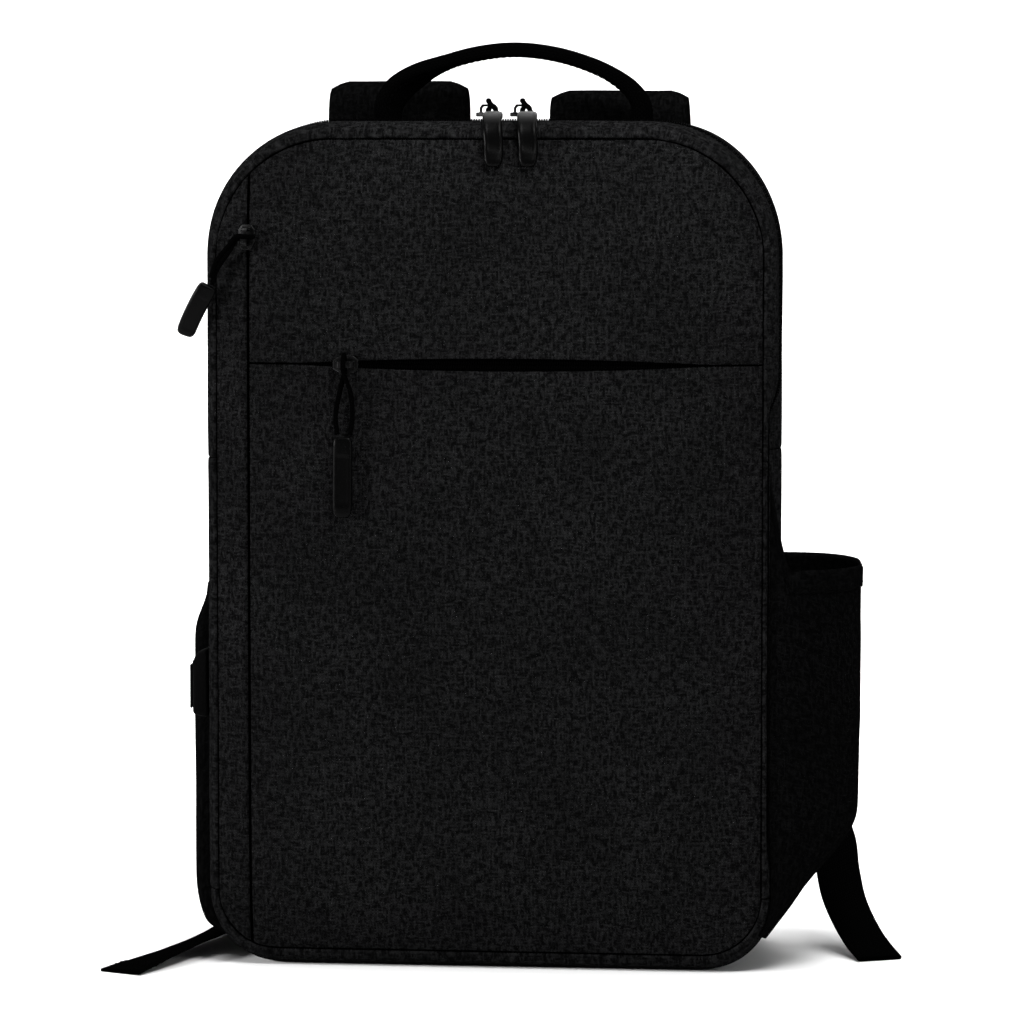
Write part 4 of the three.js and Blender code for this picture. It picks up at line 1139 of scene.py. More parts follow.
def pucker(u: float, v: float, distance: float, pattern: float, height: float = 0.5 * MM) -> float:
    """The small ripples that sewing leaves beside a seam."""
    reach, size = 7 * MM, 9 * MM
    return height * rough(u, v, pattern, size) * math.exp(-max(distance, 0.0) / reach)


@dataclass
class FrontPanels:
    """The three front panels, with the slit of the zip pocket and the concealed side zip."""

    form: BagForm
    finishes: Finishes
    zip_height: float = 311 * MM
    zip_left: float = -94 * MM
    zip_right: float = 112 * MM
    zip_opening: float = 5.6 * MM
    side_zip_inset: float = 19.5 * MM
    side_zip_gap: float = 0.8 * MM
    edge_gap: float = 0.3 * MM
    wall: float = 2.2 * MM
    step: float = 4.2 * MM
    lip: float = 1.1 * MM

    @property
    def side_zip_x(self) -> float:
        """The side zip's place across."""
        return -self.form.half_width + self.side_zip_inset

    def slit(self, x: float) -> float:
        """Half the slit's height at a place across."""
        middle = (self.zip_left + self.zip_right) / 2
        reach = (self.zip_right - self.zip_left) / 2
        share = min(abs(x - middle) / reach, 1)
        return 0.2 * MM + self.zip_opening / 2 * (1 - share ** 2)

    def lens(self, x: float) -> float:
        """Share of the slit's full opening at a place across."""
        return max(self.slit(x) / (self.zip_opening / 2 + 0.2 * MM), 0.05)

    def face(self, x: float, z: float, pattern: float) -> float:
        """The front's Y with its soft unevenness, its puckers and the turn at its seams."""
        distance = self.form.edge_distance(x, z)
        soft = 1.1 * MM * rough(x, z, pattern, 95 * MM) + 0.25 * MM * rough(x, z, pattern + 5, 26 * MM)
        calm = ease(distance, 2 * MM, 30 * MM)
        y = self.form.front(x, z) - soft * calm
        return y - pucker(x, z, distance, pattern + 9, 0.35 * MM) + seam_roll(distance)

    def build(self) -> None:
        """Makes the panels."""
        form = self.form
        edge = form.half_width - form.inset
        zip_x = self.side_zip_x + self.side_zip_gap / 2
        self.seam_tape("front_seam_tape", form.front_y, 1)
        self.seam_tape("back_seam_tape", form.back_y, -1)
        self.panel("front_upper_panel_cloth", spaced(zip_x, edge, self.step),
                   lambda x: self.zip_height + self.slit(x), form.top_at, 3.0, self.upper_edge,
                   "front_upper_panel")
        self.panel("front_lower_panel_cloth", spaced(zip_x, edge, self.step), form.low_at,
                   lambda x: self.zip_height - self.slit(x), 4.0, self.lower_edge, "front_lower_panel")
        self.panel("front_side_panel_cloth", spaced(-edge, zip_x - self.side_zip_gap, self.step), form.low_at,
                   form.top_at, 5.0, self.side_edge, "front_side_panel")

    def seam_tape(self, name: str, y: float, inwards: int) -> None:
        """A tape that binds a seam's raw edges on the inside, all round the bag.

        Args:
            name: The piece's name.
            y: The seam's place in the depth.
            inwards: The way into the bag, 1 or -1.
        """
        form = self.form
        loop = [*form.arch(form.low + form.low_radius, 6 * MM), *reversed(form.under(6 * MM)[1:])]
        places = [(reach, y + inwards * depth) for reach, depth in
                  ((-6 * MM, 3.6 * MM), (-3 * MM, 2.9 * MM), (0.4 * MM, 2.3 * MM), (0.9 * MM, 5 * MM))]
        points = [[Vector((at.x + at.nx * reach, depth, at.z + at.nz * reach)) for reach, depth in places]
                  for at in loop]
        uv = [[(reach, k * 6 * MM) for reach, _ in places] for k in range(len(loop))]
        out = Vector((0, -inwards, 0))
        tape = cloth_sheet(name, points, uv, lambda _: out, 0.8 * MM, self.finishes.tape, rounds=0)
        keep_piece(tape, Slot.CLOTH)

    def zip_lip(self, x: float) -> float:
        """The cloth's turned edge beside the side zip: it rises a little, then dips into the zip."""
        distance = abs(x - self.side_zip_x) - self.side_zip_gap / 2
        return 0.5 * MM * math.exp(-((distance - 2.4 * MM) / (1.8 * MM)) ** 2) - seam_roll(distance, 1.1 * MM, 0.9 * MM)

    def upper_edge(self, x: float, z: float) -> float:
        """How far the upper panel's edges stand out: its fold hangs over the slit."""
        distance = z - self.zip_height - self.slit(x)
        fold = self.lip * self.lens(x) * math.exp(-distance / (7 * MM))
        return fold - seam_roll(distance, 0.8 * MM, 1.0 * MM) + self.zip_lip(x)

    def lower_edge(self, x: float, z: float) -> float:
        """How far the lower panel's edges stand out: it sinks behind the fold above."""
        distance = self.zip_height - self.slit(x) - z
        sink = 1.0 * MM * self.lens(x) * math.exp(-distance / (6 * MM))
        return -sink - seam_roll(distance, 0.8 * MM, 1.0 * MM) + self.zip_lip(x)

    def side_edge(self, x: float, z: float) -> float:
        """How far the side panel's zip edge stands out."""
        del z
        return self.zip_lip(x)

    def panel(self, name: str, places: Sequence[float], low: Callable[[float], float],
              high: Callable[[float], float], pattern: float, edge: Callable[[float, float], float],
              node: str) -> None:
        """Makes one panel.

        Args:
            name: The piece's name.
            places: Its columns' places across.
            low: Its low edge at a place across.
            high: Its high edge at a place across.
            pattern: Picks its unevenness.
            edge: How far it stands out near its own edges.
            node: The node that it replaces.
        """
        points: Grid = []
        uv = []
        rows = round((high(0.0) - low(0.0)) / self.step)
        for x in places:
            heights = crowded(low(x), high(x), rows)
            points.append([Vector((x, self.face(x, z, pattern) - edge(x, z), z)) for z in heights])
            uv.append([(x, z) for z in heights])
        obj = cloth_sheet(name, points, uv, lambda _: -Y_AXIS, self.wall, self.finishes.heather)
        keep_piece(obj, Slot.HEATHER, node)


@dataclass
class Gusset:
    """The cloth that runs round the bag's sides, top and base."""

    form: BagForm
    finishes: Finishes
    zip_y: float = -20 * MM
    tape_width: float = 14 * MM
    zip_end: float = 262 * MM
    gap: float = 0.4 * MM
    wall: float = 1.7 * MM
    step: float = 4.5 * MM
    stitch_inset: float = 2.2 * MM

    def build(self) -> None:
        """Makes the bands, the sides, the base and the stitching beside the main zip."""
        form = self.form
        arch = form.arch(self.zip_end, self.step)
        tape = self.tape_width / 2 + self.gap
        self.band("gusset_front_band", arch, form.front_y, self.zip_y - tape, 11.0)
        self.band("gusset_back_band", arch, self.zip_y + tape, form.back_y, 12.0)
        corner_z = form.low + form.low_radius
        for side in Side:
            heights = spaced(corner_z, self.zip_end, self.step)
            places = [Outline(side.value * form.half_width, z, side.value, 0.0, z) for z in heights]
            self.band(f"gusset_side_{side.word}", places, form.front_y, form.back_y, 13.0 + side.value)
        self.band("base_panel", form.under(self.step), form.front_y, form.back_y, 17.0)
        rows = [self.zip_y - tape - self.stitch_inset, self.zip_y + tape + self.stitch_inset]
        paths = [[(form.gusset(at, y), Vector((at.nx, 0, at.nz))) for at in arch] for y in rows]
        face_stitches("main_zip_stitching", paths, self.finishes.thread, Slot.HEATHER)

    def band(self, node: str, places: Sequence[Outline], low_y: float, high_y: float, pattern: float) -> None:
        """Makes one band of the gusset.

        Args:
            node: The node that it replaces.
            places: Its places along the outline.
            low_y: Its edge towards the front.
            high_y: Its edge towards the back.
            pattern: Picks its unevenness.
        """
        depths = spaced(low_y, high_y, self.step)
        points: Grid = []
        uv = []
        first, last = places[0].along, places[-1].along
        for at in places:
            row = []
            for y in depths:
                sides = min(y - low_y, high_y - y)
                ends = min(at.along - first, last - at.along)
                calm = ease(min(sides, ends), 3 * MM, 22 * MM)
                flat = ease(at.z, self.form.low + 2 * MM, self.form.low + 30 * MM)
                soft = 1.3 * MM * rough(at.along, y, pattern, 55 * MM) * calm * flat
                ripple = pucker(at.along, y, sides, pattern + 3, 0.35 * MM) * flat
                lift = soft + ripple - max(seam_roll(sides), seam_roll(ends, 0.5 * MM, 0.8 * MM))
                row.append(self.form.gusset(at, y, lift))
            points.append(row)
            uv.append([(y, at.along) for y in depths])
        obj = cloth_sheet(f"{node}_cloth", points, uv, lambda p: p - Vector((0, p.y, mix(self.form.low, self.form.high, 0.5))),
                          self.wall, self.finishes.heather)
        keep_piece(obj, Slot.HEATHER, node)


@dataclass
class ZipRun:
    """Nylon coil along a path on the bag."""

    finishes: Finishes
    coil: PathRepeat = PathRepeat(ElementShape.COIL, pitch=1.25 * MM, length=0.85 * MM, width=2.9 * MM,
                                  height=1.3 * MM, jitter=0.0)
    half_row: float = 1.2 * MM

    def chain(self, name: str, path: Sequence[tuple[Vector, Vector]], lift: float, *nodes: str) -> None:
        """Two interlocked rows of coil along a path.

        Args:
            name: The piece's name.
            path: Points with the way out.
            lift: How far the coil's middle lies outside the path.
            *nodes: The nodes that it replaces.
        """
        half = self.coil.pitch / 2
        start, nxt = path[0][0], path[1][0]
        shift = (nxt - start).normalized() * half
        rows = []
        for sign, moved in ((1, Vector((0, 0, 0))), (-1, shift)):
            row = PathRepeat(ElementShape.COIL, self.coil.pitch, self.coil.length, self.coil.width,
                             self.coil.height, lift, sign * self.half_row, sign * 0.16, 0.0)
            line = [(path[0][0] + moved, path[0][1]), *path[1:]]
            rows.append(row.make(f"{name}_row", [line], self.finishes.coil))
        obj = join(name, rows)
        keep_piece(obj, Slot.ZIP_TAPE, *nodes)


def join(name: str, objects: Sequence[bpy.types.Object]) -> bpy.types.Object:
    """Joins plain mesh objects into one piece."""
    work = bmesh.new()
    materials: list[bpy.types.Material] = []
    for obj in objects:
        start = len(work.faces)
        work.from_mesh(obj.data)
        work.faces.ensure_lookup_table()
        for material in obj.data.materials:
            if material not in materials:
                materials.append(material)
        for face in work.faces[start:]:
            own = obj.data.materials[face.material_index]
            face.material_index = materials.index(own)
    mesh = bpy.data.meshes.new(name)
    work.to_mesh(mesh)
    work.free()
    for material in materials:
        mesh.materials.append(material)
    for obj in objects:
        bpy.data.objects.remove(obj)
    return add_object(name, mesh)


@dataclass
class Zips:
    """The main zip over the top, the front pocket's zip and the side zip."""

    form: BagForm
    finishes: Finishes
    front: FrontPanels
    gusset: Gusset
    tape_wall: float = 1.0 * MM
    recess: float = 0.5 * MM
    tape_gap: float = 0.7 * MM

    def build(self) -> None:
        """Makes the three zips."""
        self.main_zip()
        self.front_zip()
        self.side_zip()

    def main_zip(self) -> None:
        """The tape and the chain over the top."""
        form, gusset = self.form, self.gusset
        arch = form.arch(gusset.zip_end, 4 * MM)
        half = gusset.tape_width / 2
        depths = [mix(gusset.zip_y - half, gusset.zip_y + half, k / 8) for k in range(9)]
        points = [[form.gusset(at, y, -self.recess) for y in depths] for at in arch]
        uv = [[(y, at.along) for y in depths] for at in arch]
        middle = Vector((0, 0, mix(form.low, form.high, 0.5)))
        tape = cloth_sheet("main_zip_tape_twill", points, uv, lambda p: p - middle, self.tape_wall, self.finishes.tape)
        keep_piece(tape, Slot.ZIP_TAPE, "main_zip_tape")
        path = [(form.gusset(at, gusset.zip_y), Vector((at.nx, 0, at.nz))) for at in arch]
        ZipRun(self.finishes).chain("main_zip_coil", path[1:-1], 0.55 * MM, "main_zip_chain")

    def behind(self, x: float, z: float) -> float:
        """The Y of a tape that lies behind the front panels."""
        return self.form.front(x, z) + self.front.wall + self.tape_gap

    def front_zip(self) -> None:
        """The tape and the chain in the front slit."""
        half = 8 * MM
        front = self.front
        places = spaced(front.zip_left - half, front.zip_right + half, 6 * MM)
        heights = [front.zip_height + mix(-half, half, k / 6) for k in range(7)]
        points = [[Vector((x, self.behind(x, z), z)) for z in heights] for x in places]
        uv = [[(z, x) for z in heights] for x in places]
        tape = cloth_sheet("front_zip_tape_twill", points, uv, lambda _: -Y_AXIS, self.tape_wall, self.finishes.tape)
        keep_piece(tape, Slot.ZIP_TAPE, "front_zip_tape")
        path = [(Vector((x, self.behind(x, front.zip_height), front.zip_height)), -Y_AXIS)
                for x in places if front.zip_left < x < front.zip_right]
        ZipRun(self.finishes).chain("front_zip_coil", path, 0.9 * MM)

    def side_zip(self) -> None:
        """The tape behind the side zip's closed lips."""
        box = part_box("side_zip_tape")
        x = self.front.side_zip_x
        places = [mix(box[0].x, box[1].x, k / 6) for k in range(7)]
        heights = spaced(box[0].z, box[1].z, 8 * MM)
        points = [[Vector((place, self.behind(place, z), z)) for z in heights] for place in places]
        uv = [[(place, z) for z in heights] for place in places]
        tape = cloth_sheet("side_zip_tape_twill", points, uv, lambda _: -Y_AXIS, self.tape_wall, self.finishes.tape)
        keep_piece(tape, Slot.ZIP_TAPE, "side_zip_tape")
        path = [(Vector((x, self.behind(x, z), z)), -Y_AXIS) for z in heights]
        ZipRun(self.finishes).chain("side_zip_coil", path, 0.6 * MM)


def bevelled_copy(node: str, name: str, width: float, material: bpy.types.Material,
                  segments: int = 2, angle: float = 28.0) -> bpy.types.Object:
    """A copy of a node with its flat faces joined up and its edges rounded.

    Args:
        node: The node to copy.
        name: The piece's name.
        width: How far each edge is rounded.
        material: Its finish.
        segments: Steps across a rounded edge.
        angle: The least angle between faces, in degrees, that counts as an edge.

    Returns:
        The piece, without modifiers.
    """
    mesh = bpy.data.objects[node].data.copy()
    mesh.name = name
    work = bmesh.new()
    work.from_mesh(mesh)
    bmesh.ops.remove_doubles(work, verts=work.verts, dist=0.005 * MM)
    bmesh.ops.dissolve_limit(work, angle_limit=math.radians(1.5), verts=work.verts, edges=work.edges)
    bmesh.ops.recalc_face_normals(work, faces=work.faces)
    work.to_mesh(mesh)
    work.free()
    mesh.materials.clear()
    mesh.materials.append(material)
    shade_smooth(mesh)
    obj = add_object(name, mesh)
    bevel = obj.modifiers.new("edges", "BEVEL")
    bevel.width = width
    bevel.segments = segments
    bevel.limit_method = "ANGLE"
    bevel.angle_limit = math.radians(angle)
    bevel.harden_normals = True
    return bake(obj)


@dataclass
class ZipPull:
    """A slider, the cord loop through it and the rubber grip on the loop."""

    name: str
    finishes: Finishes
    foot: Vector
    along: Vector
    out: Vector
    slide: Vector
    cord_route: Sequence[tuple[Vector, float]]
    grip_route: Sequence[Vector]
    grip_across: Vector
    plate: float = 2.2 * MM
    eye: float = 3 * MM
    bridge: float = 1.2 * MM
    bridge_width: float = 3.4 * MM
    cord_diameter: float = 2.5 * MM
    grip_width: float = 10 * MM
    grip_thickness: float = 4.6 * MM
    seat: float = 0.35 * MM

    def build(self) -> None:
        """Makes the slider, the cord and the grip."""
        slider = bevelled_copy(f"{self.name}_slider", f"{self.name}_slider_body", 0.45 * MM, self.finishes.metal, 3)
        keep_piece(slider, Slot.METAL, f"{self.name}_slider")
        self.cord()
        self.grip()

    def cord(self) -> None:
        """The cord loop: through the slider's eye, back over its bridge and down to the grip."""
        radius = self.cord_diameter / 2
        eye_lift = self.plate + self.eye / 2
        over_lift = self.plate + self.eye + self.bridge + radius + self.seat
        reach = self.bridge_width / 2

        def at(down: float, lift: float) -> Vector:
            """A point beside the slider."""
            return self.foot + self.slide * down + self.out * lift

        loop = [point - self.along * spread for point, spread in reversed(self.cord_route)]
        loop += [at(reach + radius, eye_lift), at(-reach, eye_lift),
                 at(-reach - self.cord_diameter * 1.3, mix(eye_lift, over_lift, 0.5)),
                 at(-reach, over_lift), at(reach + radius, over_lift)]
        loop += [point + self.along * spread + self.out * radius * 0.8 for point, spread in self.cord_route]
        path = smooth_path(loop, 90)
        tangents = [(path[min(i + 1, 90)] - path[max(i - 1, 0)]).normalized() for i in range(91)]
        side = tangents[0].cross(self.out).normalized()
        stations = []
        for point, tangent in zip(path, tangents):
            side = (side - tangent * side.dot(tangent)).normalized()
            stations.append(Station(point, side.copy(), self.cord_diameter, self.cord_diameter))
        obj = sweep(f"{self.name}_pull_cord_braid", stations, round_profile(10), self.finishes.cord)
        keep_piece(obj, Slot.WEBBING, f"{self.name}_pull_cord")

    def grip(self) -> None:
        """The grip: a rounded bar with a sunken panel on each face and a collar where the cord goes in."""
        last = len(self.grip_route) - 1
        rows = [Station(point, self.grip_across, self.grip_width, self.grip_thickness) for point in self.grip_route]
        stations = smooth_stations(rows, 60)
        shape = [(0.0, 0.74, 0.7), (0.015, 0.86, 0.85), (0.05, 0.94, 0.95), (0.11, 0.99, 0.99), (0.2, 1.0, 1.0),
                 (0.86, 0.98, 1.0), (0.94, 0.9, 0.94), (0.98, 0.72, 0.8), (1.0, 0.45, 0.5)]
        del last
        for k, station in enumerate(stations):
            share = k / (len(stations) - 1)
            station.width *= read_table(shape, share, 1)
            station.thickness *= read_table(shape, share, 2)

        def section(share: float, station: Station) -> list[tuple[float, float]]:
            """The grip's section, with its sunken panels."""
            wide, thick = station.width / 2, station.thickness / 2
            sunk = 0.16 * ease(share, 0.2, 0.26) * (1 - ease(share, 0.82, 0.88))
            outline = []
            for k in range(36):
                angle = 2 * math.pi * k / 36
                c, s = math.cos(angle), math.sin(angle)
                a = math.copysign(abs(c) ** 0.55, c) * wide
                t = math.copysign(abs(s) ** 0.55, s) * thick
                inside = 1 - ease(abs(a) / wide, 0.5, 0.66)
                outline.append((a, t * (1 - sunk * inside)))
            return outline

        obj = sweep(f"{self.name}_pull_grip_body", stations, section, self.finishes.rubber, rounds=0)
        keep_piece(obj, Slot.RUBBER, f"{self.name}_pull_grip")


def round_profile(count: int) -> Profile:
    """A circle of points."""
    def outline(_: float, station: Station) -> list[tuple[float, float]]:
        """The section at one station."""
        turn = 2 * math.pi / count
        return [(station.width / 2 * math.cos(k * turn), station.thickness / 2 * math.sin(k * turn))
                for k in range(count)]
    return outline


@dataclass
class ZipPulls:
    """The four pulls: two on the main zip, one on the front pocket and one at the side."""

    form: BagForm
    finishes: Finishes
    front: FrontPanels
    gusset: Gusset
    cord: float = 2 * MM
    grip: float = 4.6 * MM
    seat: float = 0.35 * MM
    chain_height: float = 1.5 * MM
    main_centre: float = 4.8 * MM
    main_spacing: float = 17.6 * MM
    main_lean: float = 7.5 * MM
    main_drop: float = 23 * MM
    front_x: float = -71 * MM
    front_cord: float = 35.5 * MM
    front_grip: float = 41 * MM
    side_z: float = 375 * MM
    side_cord: float = 22.6 * MM
    side_grip: float = 25.4 * MM

    def build(self) -> None:
        """Makes the pulls."""
        for name, side in (("main_left", -1), ("main_right", 1)):
            self.main_pull(name, side)
        self.front_pull()
        self.side_pull()

    def main_pull(self, name: str, side: int) -> None:
        """A pull laid forwards over the top edge."""
        form = self.form
        x = self.main_centre + side * self.main_spacing / 2
        zip_y = self.gusset.zip_y
        setback = zip_y - form.front_y

        def at(ahead: float, lift: float, drop: float, lean: float) -> Vector:
            """A point of the route, from shares."""
            return Vector((x + lean * self.main_lean, zip_y - ahead * setback,
                           form.crown + lift * self.grip - drop * self.main_drop))

        cord = [(at(0.225, 1.22, 0, 0.3), 0.8 * self.cord), (at(0.388, 0.75, 0, 0.45), 1.2 * self.cord)]
        grip = [at(*row) for row in (
            (0.425, 0.58, 0, 0.5), (0.675, 0.58, 0, 0.7), (0.95, 0.23, 0, 0.8),
            (1.08, 0, 0.196, 0.9), (1.12, 0, 0.565, 1), (1.185, 0, 1, 1))]
        foot = Vector((x, zip_y, form.crown + self.chain_height + 2 * self.seat))
        ZipPull(name, self.finishes, foot, X_AXIS, Z_AXIS, -Y_AXIS, cord, grip, X_AXIS).build()

    def front_pull(self) -> None:
        """The pull that hangs down the front."""
        form, zip_z = self.form, self.front.zip_height
        lift = self.grip / 2 + 2 * self.seat

        def at(aside: float, down: float, extra: float = 0.0) -> Vector:
            """A point of the route that hangs before the cloth."""
            x, z = self.front_x - aside * self.cord, zip_z - down
            return Vector((x, form.front(x, z) - lift - extra * self.cord, z))

        cord = [(at(0, 0.394 * self.front_cord, 0.3), 1.4 * self.cord),
                (at(0.3, 0.732 * self.front_cord), 2.2 * self.cord),
                (at(0.4, self.front_cord), 1.7 * self.cord)]
        top = self.front_cord + 4 * self.seat
        grip = [at(0.7 + share * 0.2, top + share * self.front_grip) for share in (0, 0.33, 0.67, 1)]
        foot = Vector((self.front_x, form.front(self.front_x, zip_z) - self.seat, zip_z))
        out = self.way_out(self.front_x, zip_z)
        ZipPull("front", self.finishes, foot, X_AXIS, out, -Z_AXIS, cord, grip, X_AXIS).build()

    def way_out(self, x: float, z: float) -> Vector:
        """The way out of the front at a place."""
        form, step = self.form, MM
        slope_x = (form.front(x + step, z) - form.front(x - step, z)) / (2 * step)
        slope_z = (form.front(x, z + step) - form.front(x, z - step)) / (2 * step)
        return Vector((slope_x, -1, slope_z)).normalized()

    def side_pull(self) -> None:
        """The pull that leans out over the left edge."""
        form, x, z = self.form, self.front.side_zip_x, self.side_z

        def at(out: float, ahead: float, height: float) -> Vector:
            """A point of the route, from its share of the way to the bag's edge."""
            return Vector((x - out * self.front.side_zip_inset, form.front_y - ahead * self.cord, height))

        cord = [(at(out, ahead, z - down * self.side_cord), spread * self.cord) for out, ahead, down, spread in (
            (0.462, 4.4, 0.265, 0.7), (0.82, 2.75, 0.664, 1), (0.938, 3, 1, 0.9))]
        top = z - self.side_cord - self.cord
        grip = [at(out, ahead, top - down * self.side_grip) for out, ahead, down in (
            (1.02, 3, 0), (1.282, 2.25, 0.331), (1.538, 0.75, 0.685), (1.744, -1.25, 1))]
        foot = Vector((x, form.front(x, z) - self.seat, z))
        ZipPull("side", self.finishes, foot, Z_AXIS, self.way_out(x, z), Vector((-1, 0.2, 0)), cord, grip,
                Vector((0.82, 0.3, -0.5)).normalized()).build()


@dataclass
class CarryHandle:
    """The carry handle: a padded webbing arch on two upright legs."""

    form: BagForm
    finishes: Finishes
    half_span: float = 67 * MM
    rise: float = 37 * MM
    width: float = 18 * MM
    thickness: float = 7.4 * MM
    y: float = 44 * MM
    twist: float = 62.0
    centre: float = 2.5 * MM

    def build(self) -> None:
        """Makes the arch and its stitching."""
        half = [(1, 0, 0.8, 1.5), (1, 0.2, 0.84, 1.36), (0.93, 0.42, 0.88, 1.2), (0.75, 0.66, 0.93, 1.04),
                (0.5, 0.85, 0.97, 1), (0.25, 0.96, 0.99, 1)]
        table = [*half, (0, 1, 1, 1), *((-a, *rest) for a, *rest in reversed(half))]
        foot = self.form.crown + 0.35 * MM
        rows = []
        for across, up, width, thickness in table:
            turn = math.radians(self.twist) * ease(-across, 0.45, 0.93) * ease(up, -0.25, 0.4)
            way = Vector((math.sin(turn), math.cos(turn), 0))
            rows.append(Station(Vector((self.centre + across * self.half_span, self.y, foot + up * self.rise)), way,
                                width * self.width, thickness * self.thickness))
        stations = smooth_stations(rows, 110)
        obj = sweep("carry_handle_band", stations, rounded_profile(0.75, 5, 0.06), self.finishes.webbing)
        keep_piece(obj, Slot.WEBBING, "carry_handle")
        frames = strap_frames(stations)
        paths = []
        for edge in (-1, 1):
            paths.append([(s.point + across * edge * (s.width / 2 - 4 * MM) + through * s.thickness * 0.5, through)
                          for s, (_, across, through) in list(zip(stations, frames))[8:-8]])
        face_stitches("carry_handle_stitching", paths, self.finishes.thread, Slot.WEBBING)


STRAP_TABLE = [
    (0.868, 0.142, 0, 1, 0.6), (0.935, 0.142, 0, 1, 0.62), (0.985, 0.27, 0, 1, 0.68), (1, 0.55, 0, 1, 0.72),
    (0.982, 0.83, 0, 1, 0.78), (0.92, 1, 0.01, 1, 0.9), (0.78, 1.06, 0.05, 0.97, 1), (0.58, 1.12, 0.2, 0.9, 1),
    (0.38, 1.1, 0.45, 0.82, 1), (0.18, 1.02, 0.75, 0.74, 0.95), (0.04, 0.95, 0.96, 0.66, 0.8),
    (0, 0.93, 1, 0.56, 0.6),
]


@dataclass
class LockFrame:
    """The ladder lock's own axes: its middle, the ways across, up towards the strap, and away."""

    centre: Vector
    across: Vector
    up: Vector
    away: Vector

    @classmethod
    def below(cls, stations: Sequence[Station], drop: float) -> LockFrame:
        """The axes below the last of a strap's stations."""
        end, before = stations[-1].point, stations[-2].point
        up = (before - end).normalized()
        away = -X_AXIS.cross(up).normalized()
        return cls(end - up * drop, up.cross(away).normalized(), up, away)

    def at(self, rise: float, out: float) -> Vector:
        """A point at a height and a distance out from the middle."""
        return self.centre + self.up * rise + self.away * out


